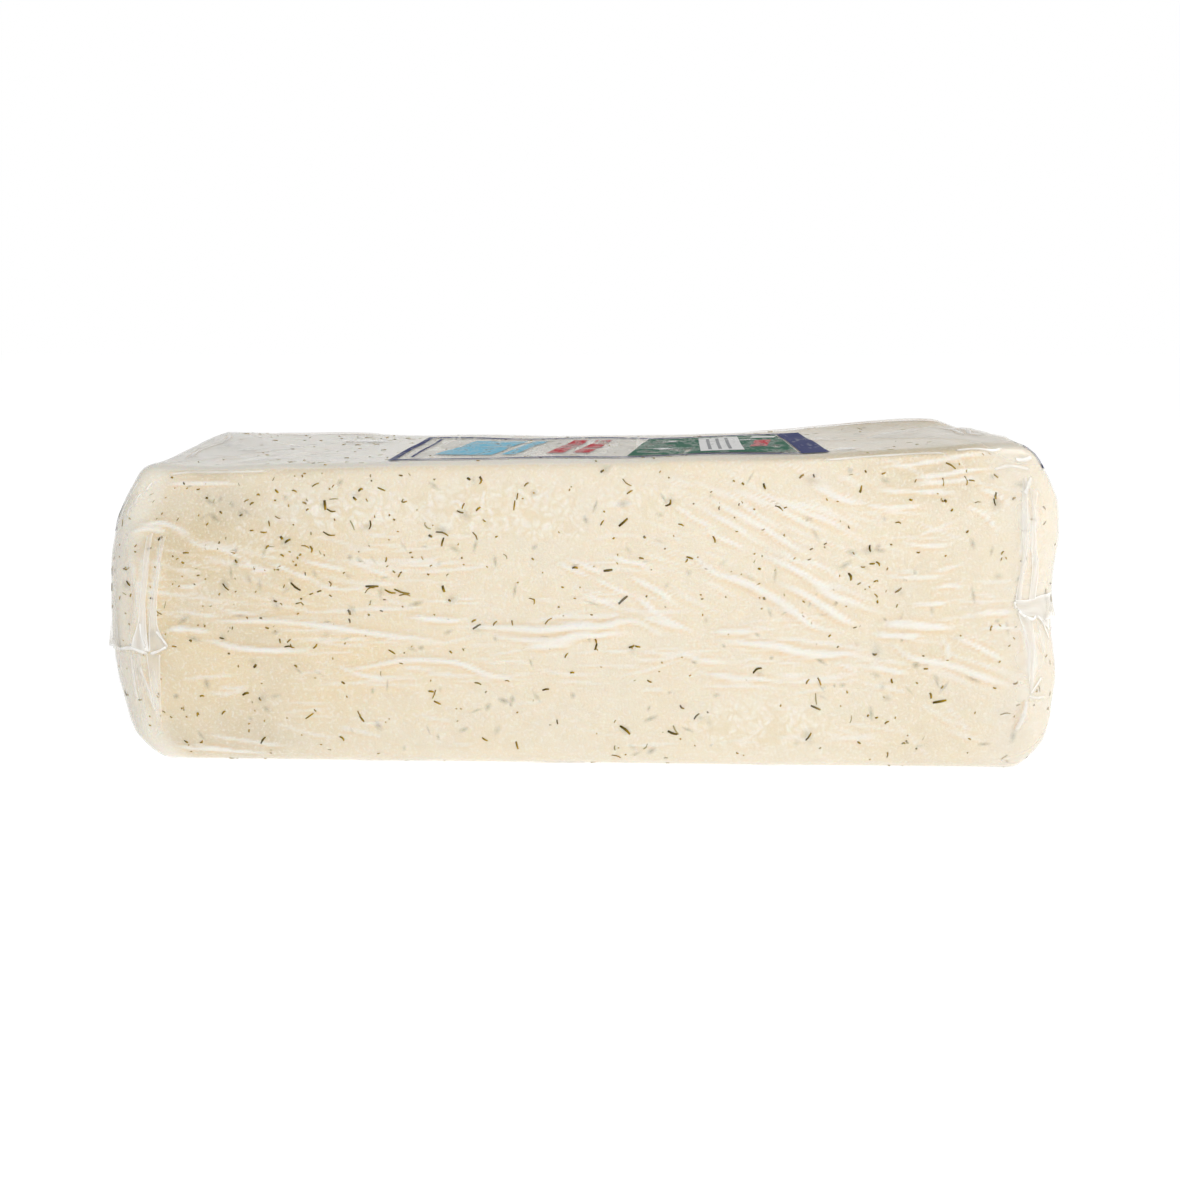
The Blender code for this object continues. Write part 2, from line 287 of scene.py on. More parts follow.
def slumped(points):
    """The slump: each end moves in by its lean, heights scale to the top's slope, faces bow out."""
    x, y, z = points.T
    height = np.clip(z, 0, HEIGHT)
    at_left = smooth_step(LENGTH / 2 - LEAN_REACH, LENGTH / 2, -x)
    at_right = smooth_step(LENGTH / 2 - LEAN_REACH, LENGTH / 2, x)
    back = smooth_step(-0.5, 0.5, y / DEPTH)
    at_back = back * smooth_step(50, 100, height)
    lean = at_left * along(LEFT_LEAN, height) * (1 - LEFT_BACK_LESS * at_back)
    lean -= at_right * along(RIGHT_LEAN, height) * (1 - RIGHT_BACK_LESS * at_back)
    end_bow = END_BOW * (1 - (2 * y / DEPTH) ** 2) * (at_right - at_left) * np.sin(np.pi * height / HEIGHT)
    top = (1 - back) * along(FRONT_TOP, x) + back * along(BACK_TOP, x)
    side_bow = SIDE_BOW * np.sin(np.pi * height / HEIGHT) * np.cos(np.pi * x / LENGTH)
    uneven = UNEVENNESS * np.sin(x / 31) * np.sin(height / 13 + x / 60)
    y = y + (side_bow + uneven) * np.clip(2 * y / DEPTH, -1, 1)
    return np.column_stack([x + lean + end_bow, y, z * top / HEIGHT])


corner = slumped(rounded(np.array([HALF * [1, -1, 1]]))[0])[0]
print("the upper right corner of the front lies at", corner.round(1), "mm")

# %% [markdown]
# ## Places on the skin
# Anything on the four upright faces is given as (around, height): how far round the loaf it is,
# starting from the middle of the front, and how high. That way a crease runs round a corner as
# easily as it runs along a face. On the top and the bottom a place is simply (x, y).

# %% From places to box points
def belt(places):
    """Box point for (around, height): along the front, then on round the ends to the back."""
    loop = 2 * (LENGTH + DEPTH)
    around = (places[:, 0] + loop / 2) % loop - loop / 2
    far, sign = np.abs(around), np.sign(around)
    on_front, on_end = far <= HALF[0], far <= HALF[0] + DEPTH
    x = np.select([on_front, on_end], [around, sign * HALF[0]], sign * (LENGTH + DEPTH - far))
    y = np.select([on_front, on_end], [-HALF[1], far - HALF[0] - HALF[1]], HALF[1])
    return np.column_stack([x, y, places[:, 1] - HALF[2]])


def lid(places):
    """Box point for (x, y) on the top."""
    return np.column_stack([places, np.full(len(places), HALF[2])])


def base(places):
    """The bottom, seen from below: y runs the other way, so that pieces on it still face out."""
    return np.column_stack([places * [1, -1], np.full(len(places), -HALF[2])])


def girth(box):
    """The way back: how far round the loaf an upright box point is."""
    x, y = box[:, 0], box[:, 1]
    on_end = HALF[0] - np.abs(x) < HALF[1] - np.abs(y)
    place = np.where(y < 0, x, LENGTH + DEPTH - x)
    place = np.where(on_end & (x > 0), HALF[0] + HALF[1] + y, place)
    return np.where(on_end & (x < 0), -HALF[0] - HALF[1] - y, place)


def height_of(box):
    """How high a box point is above the bottom."""
    return box[:, 2] + HALF[2]


print("once round the loaf is", 2 * (LENGTH + DEPTH), "mm")

# %% [markdown]
# ## Where the creases run
# The slack film folded into long creases at mid height, a fan of fine ones at the upper right, and
# pleats that gather into the ears of both seals. Each is a row of stations that a smooth curve
# passes through. The tables below hold the ones that show on the front, strongest first.

# %% Stations of the creases on the front, as around, height, around, height and so on
DEEP = (
    (-131, 54, -125, 52, -119, 52, -101, 52, -83, 50, -65, 47, -48, 45, -34, 41),
    (-141, 47, -137, 49, -131, 49, -122, 48), (-131, 45, -124, 45, -117, 43, -110, 42, -91, 41, -85, 38),
    (-44, 50, -34, 50, -12, 49, 0, 50, 8, 50, 18, 52, 24, 50, 29, 47, 39, 48),
    (-32, 47, -24, 46, -8, 45, 0, 47, 8, 47, 14, 48, 22, 46),
    (32, 78, 40, 73, 46, 68, 55, 65, 63, 61, 71, 56, 79, 50, 87, 48, 95, 47),
    (56, 76, 68, 71, 77, 66, 85, 60, 91, 58, 98, 55, 108, 52), (64, 66, 75, 61, 83, 56, 91, 51, 99, 49),
    (42, 45, 50, 45, 58, 44, 67, 43, 75, 41, 82, 40, 95, 41, 101, 43),
    (100, 43, 106, 43, 112, 39, 125, 36, 133, 33, 141, 30, 148, 27), (98, 50, 108, 50, 116, 49, 130, 48),
    (-156, 82, -150, 84, -144, 84, -139, 82),
)
MIDDLING = (
    (-87, 38, -76, 35, -59, 38, -48, 38, -39, 37, -32, 34, -24, 32, -9, 31),
    (-59, 53, -52, 53, -42, 52, -35, 53), (-17, 43, -10, 43, 1, 44), (10, 75, 17, 72, 22, 71, 26, 68),
    (15, 69, 22, 65, 29, 61, 35, 56), (17, 62, 22, 59, 29, 53, 37, 49, 42, 46), (21, 54, 30, 51, 36, 48),
    (44, 48, 54, 48, 63, 48), (132, 53, 140, 53, 148, 53), (124, 46, 130, 44, 136, 41, 145, 36),
    (97, 47, 108, 46, 118, 46), (41, 33, 49, 33, 54, 32, 62, 32, 70, 30),
    (-156, 85, -147, 86, -141, 86, -133, 83, -128, 81), (41, 95, 48, 90, 58, 85, 66, 80, 74, 75, 83, 71),
    (57, 95, 68, 91, 74, 88, 84, 84, 89, 81, 96, 76), (-154, 10, -146, 6, -126, 5, -109, 3),
)
FAINT = (
    (-83, 37, -73, 33, -61, 30), (-137, 65, -131, 64, -125, 66), (-110, 69, -105, 70, -101, 70),
    (-90, 66, -84, 64, -77, 63, -68, 64), (-8, 73, 0, 69, 7, 66), (33, 43, 40, 39, 51, 37),
    (135, 48, 144, 48, 150, 47), (122, 46, 124, 42, 125, 36), (86, 38, 95, 34), (96, 37, 104, 35, 113, 33),
    (43, 98, 53, 92, 61, 86, 72, 80), (50, 97, 59, 93, 68, 88, 75, 84, 88, 78), (68, 92, 82, 87, 89, 83),
    (75, 97, 79, 95, 83, 93, 87, 91, 96, 89), (66, 72, 74, 68, 83, 63, 90, 61), (74, 73, 84, 68, 90, 63),
    (41, 89, 51, 84, 61, 78), (41, 84, 49, 79, 58, 75), (32, 91, 41, 85, 48, 82),
    (93, 102, 106, 101, 125, 102, 135, 103, 154, 103), (104, 98, 111, 97, 120, 97, 132, 98, 151, 99),
    (108, 95, 115, 95, 124, 95, 140, 96), (94, 94, 106, 93, 119, 92, 131, 91), (93, 90, 103, 88, 116, 88),
    (-153, 101, -147, 100, -121, 100, -108, 99), (-113, 74, -107, 71, -101, 69),
    (-105, 73, -99, 71, -92, 68, -86, 66), (-125, 79, -116, 76, -109, 73), (-133, 81, -125, 78, -119, 77),
    (-92, 73, -82, 71, -75, 69), (-78, 73, -68, 70, -60, 66), (-5, 74, 5, 70, 12, 66), (0, 62, 8, 59, 16, 55),
    (5, 67, 13, 63, 22, 59), (-134, 11, -109, 8, -95, 6), (-147, 8, -123, 5, -99, 3),
    (127, 88, 135, 84, 140, 77), (133, 93, 141, 90, 145, 85), (107, 76, 117, 75, 125, 75),
    (101, 66, 111, 65, 124, 65), (118, 61, 124, 62, 130, 61), (109, 57, 118, 56, 126, 57),
)

# Half width and height in mm, then how white the fold is.
DEEP_FOLD, MIDDLING_FOLD, FAINT_FOLD = (2.9, 0.40, 1.0), (2.3, 0.26, 1.0), (1.9, 0.18, 0.85)
PLEAT_FOLD, REAR_FOLD = (3.2, 0.15, 0.75), (3.3, 0.40, 1.0)
print(len(DEEP), "deep,", len(MIDDLING), "middling and", len(FAINT), "faint creases on the front")

# %% Pleats at the seals, and a plainer set of creases for the back
LEFT_SEAL, RIGHT_SEAL = 41.0, 54.0
LEFT_PLEATS = (
    (-155, 82, -151, 70, -149, 61, -151, 52, -153, 43), (-147, 83, -147, 70, -148, 60, -149, 51, -152, 43),
    (-142, 82, -142, 70, -144, 60, -144, 51, -145, 42), (-153, 40, -153, 31, -154, 23),
    (-150, 34, -148, 27, -148, 19), (-145, 40, -146, 25, -150, 11),
)
RIGHT_PLEATS = (
    (148, 58, 149, 68, 148, 77, 149, 87, 153, 96), (154, 58, 154, 66, 151, 75, 152, 85, 154, 93),
    (148, 53, 151, 43, 150, 34, 151, 28), (155, 51, 154, 43, 152, 33, 151, 27), (157, 49, 159, 42, 158, 37),
    (150, 25, 150, 20, 150, 14),
)
BACK = (
    (292, 54, 330, 50, 372, 47, 400, 50), (380, 44, 420, 47, 470, 40, 510, 42),
    (462, 50, 500, 46, 540, 42, 584, 42), (300, 62, 350, 72, 392, 84), (310, 46, 360, 34, 410, 26),
    (520, 52, 552, 62, 584, 70), (300, 58, 340, 62, 380, 66), (430, 52, 470, 58, 505, 60),
)
print(len(LEFT_PLEATS + RIGHT_PLEATS), "pleats at the seals and", len(BACK), "creases on the back")

# %% [markdown]
# ## Relief of the skin
# A crease presses the soft cheese, so the block swells a little under it. That relief belongs to
# the skin that everything lies on. It is the distance to the nearest point of each route, turned
# into a low, wide hump. The top has slack ridges along its right edges, and fine ripples.

# %% Smooth routes and distance to them
def smooth_route(stations, step=1.1):
    """A smooth curve through x, y, x, y and so on, read off again at even steps. Between two stations
    it is a cubic that leaves each of them parallel to the line between its two neighbours."""
    p = np.array(stations, float).reshape(-1, 2)
    p = np.vstack([2 * p[0] - p[1], p, 2 * p[-1] - p[-2]])
    t = np.linspace(0, 1, 16, endpoint=False)[:, None, None]
    a, b, c, d = p[:-3], p[1:-2], p[2:-1], p[3:]
    curve = b + ((c - a) * t + (2 * a - 5 * b + 4 * c - d) * t**2 + (3 * b - a - 3 * c + d) * t**3) / 2
    curve = np.vstack([curve.transpose(1, 0, 2).reshape(-1, 2), p[-2:-1]])
    run = np.concatenate([[0], np.cumsum(np.hypot(*np.diff(curve, axis=0).T))])
    even = np.linspace(0, run[-1], max(4, round(run[-1] / step)) + 1)
    return np.column_stack([np.interp(even, run, curve[:, 0]), np.interp(even, run, curve[:, 1])])


def nearest(places, route):
    """Distance to a route, positive on its left side, and how far along it the nearest point lies."""
    run = np.diff(route, axis=0)
    offset = places[:, None] - route[:-1]
    t = np.clip((offset * run).sum(-1) / (run**2).sum(-1), 0, 1)
    gap = offset - t[..., None] * run
    distance = np.hypot(gap[..., 0], gap[..., 1])
    best = distance.argmin(1)
    rows = np.arange(len(places))
    side = run[best, 0] * gap[rows, best, 1] - run[best, 1] * gap[rows, best, 0]
    return distance[rows, best] * np.sign(side), (best + t[rows, best]) / len(run)


def bell(value, middle, width):
    """1 at the middle, and a bell curve down to 0 on both sides."""
    return np.exp(-(((value - middle) / width) ** 2))


def hump(places, stations, half_width, height):
    """Low hump along a route: a bell curve of the distance, fading at both ends."""
    route = smooth_route(stations, 2.5)
    relief = np.zeros(len(places))
    reach = 2.2 * half_width
    close = np.all((places > route.min(0) - reach) & (places < route.max(0) + reach), axis=1)
    distance, share = nearest(places[close], route)
    fade = smooth_step(0, 0.22, np.minimum(share, 1 - share))
    relief[close] = height * fade * bell(distance, 0, half_width)
    return relief


print("the longest crease has", len(smooth_route(DEEP[0])), "stations once it is smooth")

# %% Relief on the sides and on the top
HUMPS = (
    [(route, 2.6, 0.30) for route in DEEP]
    + [(route, 2.1, 0.20) for route in MIDDLING]
    + [(route, 1.8, 0.12) for route in FAINT]
    + [(route, 2.2, 0.30) for route in LEFT_PLEATS + RIGHT_PLEATS]
    + [(route, 2.8, 0.5) for route in BACK]
)


def end_gathers(around, height, corner, towards, seal):
    """Fine upright folds that the seal gathers on an end face, dying out above and below it."""
    in_from_corner = (around - corner) * towards
    on_end = smooth_step(0, 14, in_from_corner) * smooth_step(DEPTH, DEPTH - 14, in_from_corner)
    folds = np.sin(in_from_corner / 1.25 + 1.5 * np.sin(in_from_corner / 9))
    return 0.5 * folds * bell(height, seal, 17) * on_end


def side_relief(box, outward):
    """All humps and gathers of the upright faces, fading out towards the top and the bottom."""
    around, height = girth(box), height_of(box)
    places = np.column_stack([around, height])
    relief = np.zeros(len(box))
    for stations, half_width, rise in HUMPS:
        relief += hump(places, stations, half_width, rise)
    relief += end_gathers(around, height, -HALF[0], -1, LEFT_SEAL)
    relief += end_gathers(around, height, HALF[0], 1, RIGHT_SEAL)
    return relief * smooth_step(0.25, 0.8, np.hypot(outward[:, 0], outward[:, 1]))


def top_relief(box, outward):
    """Slack ridges along the right part of the back edge and the right edge, and ripples of sine waves."""
    x, y = box[:, 0], box[:, 1]
    back_slack = 2.2 * smooth_step(60, 132, x) * smooth_step(158, 143, x) * bell(y, 50, 7)
    end_slack = 1.2 * smooth_step(-56, -36, y) * smooth_step(60, 40, y) * bell(x, 158, 7)
    ripples = 0.3 * np.sin(x / 9 + 1.3 * np.sin(y / 17)) * np.sin(y / 21 + x / 70)
    return (np.maximum(back_slack, end_slack) + ripples) * smooth_step(0.3, 0.9, outward[:, 2])


def on_loaf(box, lift=0.0):
    """Where points of the plain box are on the loaf, lift mm outside its skin."""
    points, outward = rounded(box)
    rise = side_relief(box, outward) + top_relief(box, outward) + lift
    return slumped(points + rise[:, None] * outward)


mid_crease = belt(np.array([[-65.0, 47.0]]))
print("the longest crease raises the skin by", side_relief(mid_crease, rounded(mid_crease)[1]).round(2), "mm")

# %% [markdown]
# ## Making a piece
# Every piece is a set of small grids laid on the skin. One helper turns box points, lifts and
# colour marks into a mesh, and says that it rides on the loaf's one body. The marks are a colour
# attribute with a number in each channel, such as how white a fold is. Materials read them.

# %% Grids, patches and mesh objects
def grid_faces(count, rows, columns):
    """Corner numbers of the squares of count equal grids: along a row first, then up a column."""
    corner = np.arange(rows - 1)[:, None] * columns + np.arange(columns - 1)
    square = np.stack([corner, corner + columns, corner + columns + 1, corner + 1], axis=-1).reshape(-1, 4)
    return (square[None] + rows * columns * np.arange(count)[:, None, None]).reshape(-1, 4)


def patch(places, lift, marks, to_box):
    """One or more grids of places, as (grid, row, column, 2), ready to be joined into a piece."""
    places = np.asarray(places, float)
    places = places[None] if places.ndim == 3 else places
    shape = places.shape[:3]
    return {
        "box": to_box(places.reshape(-1, 2)),
        "lift": np.broadcast_to(lift, shape).reshape(-1),
        "marks": np.stack([np.broadcast_to(m, shape) for m in marks], axis=-1).reshape(-1, len(marks)),
        "faces": grid_faces(*shape),
    }


def make_piece(name, points, faces, material, **marks):
    """Puts points in mm and faces into a mesh object, with each set of marks as a colour attribute.
    A face whose last two corners are the same point goes in as a triangle."""
    mesh = bpy.data.meshes.new(name)
    three = faces[:, 2] == faces[:, 3]
    mesh.from_pydata((points * MM).tolist(), [], faces[~three].tolist() + faces[three, :3].tolist())
    mesh.shade_smooth()
    for label, columns in marks.items():
        rgba = np.ones((len(points), 4), np.float32)
        rgba[:, : columns.shape[1]] = columns
        mesh.attributes.new(label, "FLOAT_COLOR", "POINT").data.foreach_set("color", rgba.ravel())
    mesh.materials.append(material)
    piece = show(mesh, name)
    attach(piece, "root")
    print(f"{name}: {2 * len(faces) - three.sum()} triangles, {np.ptp(points, axis=0).round(1)} mm")
    return piece


def join_patches(name, patches, material):
    """Lays all patches on the loaf in one go and joins them into one piece."""
    first = np.cumsum([0] + [len(p["box"]) for p in patches[:-1]])
    points = on_loaf(np.vstack([p["box"] for p in patches]), np.concatenate([p["lift"] for p in patches]))
    faces = np.vstack([p["faces"] + start for p, start in zip(patches, first)])
    return make_piece(name, points, faces, material, marks=np.vstack([p["marks"] for p in patches]))


made(grid_faces, patch, make_piece, join_patches)

# %% [markdown]
# ## Shared effects
# Three effects are used by more than one finish, so each is a node group: soft clouds of tone,
# the fine grain of stretched film, and the wear that breaks up ink and haze. A group only gives
# out masks and heights. The shader itself stays in each material.

# %% Node groups
MM_PER_METRE = 1000.0


def start_group(name, output, **inputs):
    """A node group with one output and float inputs; Size_mm=3.0 makes the socket "Size mm"."""
    group = bpy.data.node_groups.new(name, "ShaderNodeTree")
    for label, default in inputs.items():
        label = label.replace("_", " ")
        socket = group.interface.new_socket(label, in_out="INPUT", socket_type="NodeSocketFloat")
        socket.default_value = default
    group.interface.new_socket(output, in_out="OUTPUT", socket_type="NodeSocketFloat")
    given, out = group.nodes.new("NodeGroupInput"), group.nodes.new("NodeGroupOutput")
    return group, given.outputs, out.inputs[output]


def use_group(tree, group, **values):
    """The output of a group that is placed with its own values."""
    node = add(tree, "ShaderNodeGroup", node_tree=group)
    for label, value in values.items():
        node.inputs[label.replace("_", " ")].default_value = value
    return node.outputs[0]


def object_place(tree, stretch=(1.0, 1.0, 1.0)):
    """The piece's own coordinates; a small stretch draws a pattern out along that axis."""
    place = add(tree, "ShaderNodeTexCoord").outputs["Object"]
    return add(tree, "ShaderNodeMapping", {"Vector": place, "Scale": stretch}).outputs[0]


def noise(tree, scale, detail, distortion=0.0, stretch=(1.0, 1.0, 1.0)):
    """Outputs of noise on the piece's own coordinates: a value from 0 to 1 and a colour."""
    place = object_place(tree, stretch)
    inputs = {"Vector": place, "Scale": scale, "Detail": detail, "Distortion": distortion}
    return add(tree, "ShaderNodeTexNoise", inputs).outputs


made(start_group, use_group, object_place, noise)

# %% Clouds, grain and wear
def soft_clouds():
    """Noise of a given size in mm, stretched by a contrast about its middle."""
    group, given, out = start_group("soft_clouds", "Mask", Size_mm=30.0, Contrast=2.0)
    tone = noise(group, calc(group, "DIVIDE", MM_PER_METRE, given["Size mm"]), 3.0)[0]
    spread = times(group, calc(group, "SUBTRACT", tone, 0.5), given["Contrast"])
    group.links.new(plus(group, spread, 0.5, clamp=True), out)
    return group


def film_grain():
    """Height of fine wrinkles that run along the loaf, as stretched film has."""
    group, given, out = start_group("film_grain", "Height", Size_mm=2.0)
    scale = calc(group, "DIVIDE", MM_PER_METRE, given["Size mm"])
    group.links.new(noise(group, scale, 2.0, 0.6, (0.35, 1.0, 1.0))[0], out)
    return group


def wear_streaks():
    """Mask of ragged streaks across the loaf: 1 where the surface is worn, 0 where it is whole."""
    group, given, out = start_group("wear_streaks", "Mask", Amount=0.4, Size_mm=9.0)
    scale = calc(group, "DIVIDE", MM_PER_METRE, given["Size mm"])
    broad = noise(group, scale, 4.0, 1.2, (1.0, 0.35, 1.0))[0]
    fine = noise(group, times(group, scale, 6.0), 2.0, 0.0, (1.0, 0.2, 1.0))[0]
    both = plus(group, times(group, broad, 0.7), times(group, fine, 0.3))
    edge = calc(group, "SUBTRACT", 0.72, times(group, given["Amount"], 0.35))
    group.links.new(times(group, calc(group, "SUBTRACT", both, edge), 14.0, clamp=True), out)
    return group


CLOUDS, GRAIN, STREAKS = soft_clouds(), film_grain(), wear_streaks()
print("node groups:", [group.name for group in (CLOUDS, GRAIN, STREAKS)])

# %% Marks and fine relief in a material
def read_marks(tree, label="marks"):
    """The three channels of a set of marks."""
    attribute = add(tree, "ShaderNodeAttribute", attribute_name=label)
    return add(tree, "ShaderNodeSeparateColor", {0: attribute.outputs["Color"]}).outputs


def feed(tree, shader, **sockets):
    """Links values into the shader; Base_Color=tone feeds its socket "Base Color"."""
    for label, value in sockets.items():
        tree.links.new(value, shader.inputs[label.replace("_", " ")])


def fine_relief(tree, height, strength, distance):
    """The normal that a height gives, distance metres high."""
    inputs = {"Height": height, "Strength": strength, "Distance": distance}
    return add(tree, "ShaderNodeBump", inputs).outputs[0]


made(read_marks, feed, fine_relief)

# %% [markdown]
# ## The creases
# In a crease the film lies double and stands off the cheese, so it scatters light and looks
# white, and its crest is painted brighter still as a highlight. On both sides a warm shade is
# painted, the shadow the cheese lies in there. One profile of height, whiteness, painted warm
# shade and cover runs across every crease, and it thins out at both ends.

# %% Profile of a crease
# Place across, height, white (haze of the doubled film and painted highlight), warm (painted warm shade on
# both flanks), cover.
FOLD_PROFILE = np.array([
    (-1.00, 0.00, 0.0, 1.0, 0.00), (-0.82, 0.00, 0.0, 1.0, 0.26), (-0.62, 0.00, 0.0, 1.0, 0.58),
    (-0.46, 0.06, 0.0, 1.0, 0.68), (-0.34, 0.35, 0.6, 0.3, 0.60), (-0.20, 0.72, 0.9, 0.0, 0.78),
    (0.00, 0.96, 1.0, 0.0, 0.88), (0.18, 1.00, 1.0, 0.0, 0.92), (0.32, 0.62, 0.9, 0.0, 0.74),
    (0.42, 0.12, 0.1, 0.7, 0.40), (0.60, 0.00, 0.0, 1.0, 0.32), (0.80, 0.00, 0.0, 1.0, 0.12),
    (1.00, 0.00, 0.0, 1.0, 0.00),
])
FOLD_LIFT = 0.09
print("a fold has", len(FOLD_PROFILE), "places across it and lies", FOLD_LIFT, "mm above the skin")


def uneven_along(share, seed):
    """Two curves along a crease, from -1 to 1: how its width and its whiteness wander."""
    wander = np.random.default_rng(1000 + seed).uniform(-1, 1, (2, 9))
    return (np.interp(share, np.linspace(0, 1, 9), row) for row in wander)


def crease_shape(share, white, seed, blunt):
    """Relative width and relative cover of a crease at each share of its length."""
    taper = smooth_step(0, blunt, np.minimum(share, 1 - share))
    uneven, patchy = uneven_along(share, seed)
    wide = (0.45 + 0.55 * taper) * (1 + 0.25 * uneven)
    return taper, wide, taper * (0.35 + 0.6 * white) * (1 + 0.22 * patchy)


made(uneven_along, crease_shape)

# %% A crease as a strip of its own
def fold(stations, half_width, height, white, to_box=belt, seed=0, blunt=0.2, warm_shade=1.0):
    """A crease as a strip of its own: the profile swept along its route."""
    route = smooth_route(stations)
    run = np.gradient(route, axis=0)
    run /= np.linalg.norm(run, axis=1, keepdims=True)
    sideways = np.column_stack([-run[:, 1], run[:, 0]])
    share = np.linspace(0, 1, len(route))
    taper, wide, covered = (v[:, None] for v in crease_shape(share, white, seed, blunt))
    across, rise, whiteness, warm_shading, cover = FOLD_PROFILE.T
    places = route[:, None] + sideways[:, None] * (across * half_width * wide)[..., None]
    lift = FOLD_LIFT + height * taper * rise
    cover = np.clip(cover * np.maximum(whiteness, warm_shade) * covered, 0, 1)
    return patch(places, lift, (whiteness + 0 * wide, warm_shade * warm_shading + 0 * wide, cover), to_box)


short_fold = fold((0, 50, 20, 50), *DEEP_FOLD)
print("a crease 20 mm long is a strip of", len(short_fold["faces"]), "faces")

# %% Many creases in one sheet
FAR_AWAY = -99


def laid_creases(places, creases, seed=0):
    """White (film haze and painted highlight), painted warm shade and lift where many creases lie in one
    sheet: each covers a share of what is under it.
    """
    no_white, no_warm_shade, lift = np.ones(len(places)), np.ones(len(places)), np.zeros(len(places))
    for i, (stations, half_width, height, whiteness) in enumerate(creases):
        route = smooth_route(stations, 2.0)
        reach = 1.3 * half_width
        inside = np.all((places > route.min(0) - reach) & (places < route.max(0) + reach), axis=1)
        near = np.flatnonzero(inside)
        distance, share = nearest(places[near], route)
        taper, wide, covered = crease_shape(share, whiteness, seed + i, 0.3)
        across = distance / (half_width * wide)
        rise, white, warm_shade, cover = (np.interp(across, FOLD_PROFILE[:, 0], row) for row in FOLD_PROFILE.T[1:])
        no_white[near] *= 1 - np.clip(cover * covered * white, 0, 1)
        no_warm_shade[near] *= 1 - np.clip(cover * covered * warm_shade, 0, 1)
        lift[near] = np.maximum(lift[near], height * taper * rise)
    return 1 - no_white, 1 - no_warm_shade, lift


def crease_places(box):
    """Places of a skin's upright points; those of the top and the bottom are sent far away."""
    upright = np.abs(box[:, 2]) < HALF[2] - 0.3
    return np.column_stack([girth(box), np.where(upright, height_of(box), FAR_AWAY)])


made(laid_creases, crease_places)

# %% [markdown]
# ## Fine wrinkles
# Between the creases lie many short, faint wrinkles. On the front they follow the slack: level at
# mid height, and slanting down to the right in the upper right part, like the fan of creases there.
# They are scattered with a seeded random generator, so each run gives the same ones.

# %% Slope of the wrinkles, and random places
def wrinkle_slant(around, height):
    """Slope of the wrinkles in degrees: the fan falls steeply, its two neighbours less, the rest is level."""
    in_fan = smooth_step(8, 40, around) * smooth_step(118, 92, around) * smooth_step(48, 62, height)
    at_left = smooth_step(-50, -80, around) * smooth_step(50, 62, height) * smooth_step(95, 80, height)
    low_right = smooth_step(90, 120, around) * smooth_step(50, 42, height)
    return -28 * in_fan - 15 * at_left - 22 * low_right


def level(around, height):
    """No slope anywhere."""
    return 0 * around


def random_places(rng, count, across, up):
    """Places spread evenly over a range across and a range up."""
    return np.column_stack([rng.uniform(*across, count), rng.uniform(*up, count)])


def ways(angle):
    """Unit steps ahead and aside for each angle: cosine and sine, then the same turned by 90 degrees."""
    along_x, along_y = np.cos(angle), np.sin(angle)
    return np.stack([along_x, along_y], axis=-1), np.stack([-along_y, along_x], axis=-1)


print("in the fan the wrinkles are turned by", wrinkle_slant(60.0, 80.0).round(), "degrees")

# %% Scattered wrinkles
WRINKLE_HEIGHT = 0.08


def wrinkles(count, around, height, seed, spread=5, slant=wrinkle_slant):
    """Short faint creases at random places inside the given ranges, each with three stations."""
    rng = np.random.default_rng(seed)
    middle = random_places(rng, count, around, height)
    angle = np.radians(slant(middle[:, 0], middle[:, 1]) + rng.normal(0, spread, count))
    ahead, aside = ways(angle)
    reach = rng.uniform(4, 17, count)[:, None] * ahead
    bend = rng.normal(0, 0.7, count)[:, None] * aside
    stations = np.stack([middle - reach, middle + bend, middle + reach], axis=1)
    width, white = rng.uniform(1.1, 2.1, count), rng.uniform(0.0, 0.48, count)
    return [(stations[i], width[i], WRINKLE_HEIGHT, white[i]) for i in range(count)]


# Ranges of the wrinkles on the front: count, around, height, seed, spread of the slope.
FRONT_WRINKLES = (
    (64, (10, 104), (54, 100), 5, 3), (70, (-135, 30), (26, 60), 6, 5), (56, (-150, -40), (55, 84), 9, 5),
    (16, (95, 146), (56, 103), 7, 14), (46, (30, 146), (26, 52), 8, 5), (24, (-130, 140), (6, 26), 10, 10),
)
front_creases = []
for routes, look in ((DEEP, DEEP_FOLD), (MIDDLING, MIDDLING_FOLD), (FAINT, FAINT_FOLD)):
    front_creases += [(route, *look) for route in routes]
for row in FRONT_WRINKLES:
    front_creases += wrinkles(*row)
front_creases += [(route, *PLEAT_FOLD) for route in LEFT_PLEATS + RIGHT_PLEATS]
rear_creases = [(route, *REAR_FOLD) for route in BACK] + wrinkles(90, (300, 585), (14, 98), 21, 14, level)
creases = front_creases + rear_creases
print(len(front_creases), "creases and wrinkles on the front,", len(rear_creases), "on the back")

# %% [markdown]
# ## The cheese
# Havarti is semi-soft, cream-coloured and slightly see-through, so light spreads under its surface
# and warms the shadows of the creases. Curds that didn't quite close up show as small milky
# pebbles in patches. Six joined grids give the block, one for each face of the box. A cube with
# subdivisions would put as many faces on the flat bottom as on the creased front.

# %% Finish of the cheese
CREAM = (0.790, 0.716, 0.574)
WARM_CREAM = (0.810, 0.695, 0.515)
# The grey cream below is both random grey clouds and painted shade.
CLOUD_AND_SHADE_CREAM = (0.600, 0.515, 0.360)
GOLDEN_CREAM = (0.800, 0.650, 0.400)
MILK = (0.865, 0.830, 0.750)
# The crease white below is the haze of the doubled film with a painted highlight; it also paints the top and
# the front-left corner paler. The warm colour after it is painted shade beside the creases.
HAZE_AND_HIGHLIGHT_WHITE = (0.850, 0.838, 0.785)
CREASE_WARM_SHADE = (0.780, 0.590, 0.370)
PEBBLE_MILK, PEBBLE_GAP = (0.880, 0.850, 0.780), (0.76, 0.65, 0.46)
LIGHT_REACH, LIGHT_SCALE = (1.0, 0.55, 0.28), 0.002


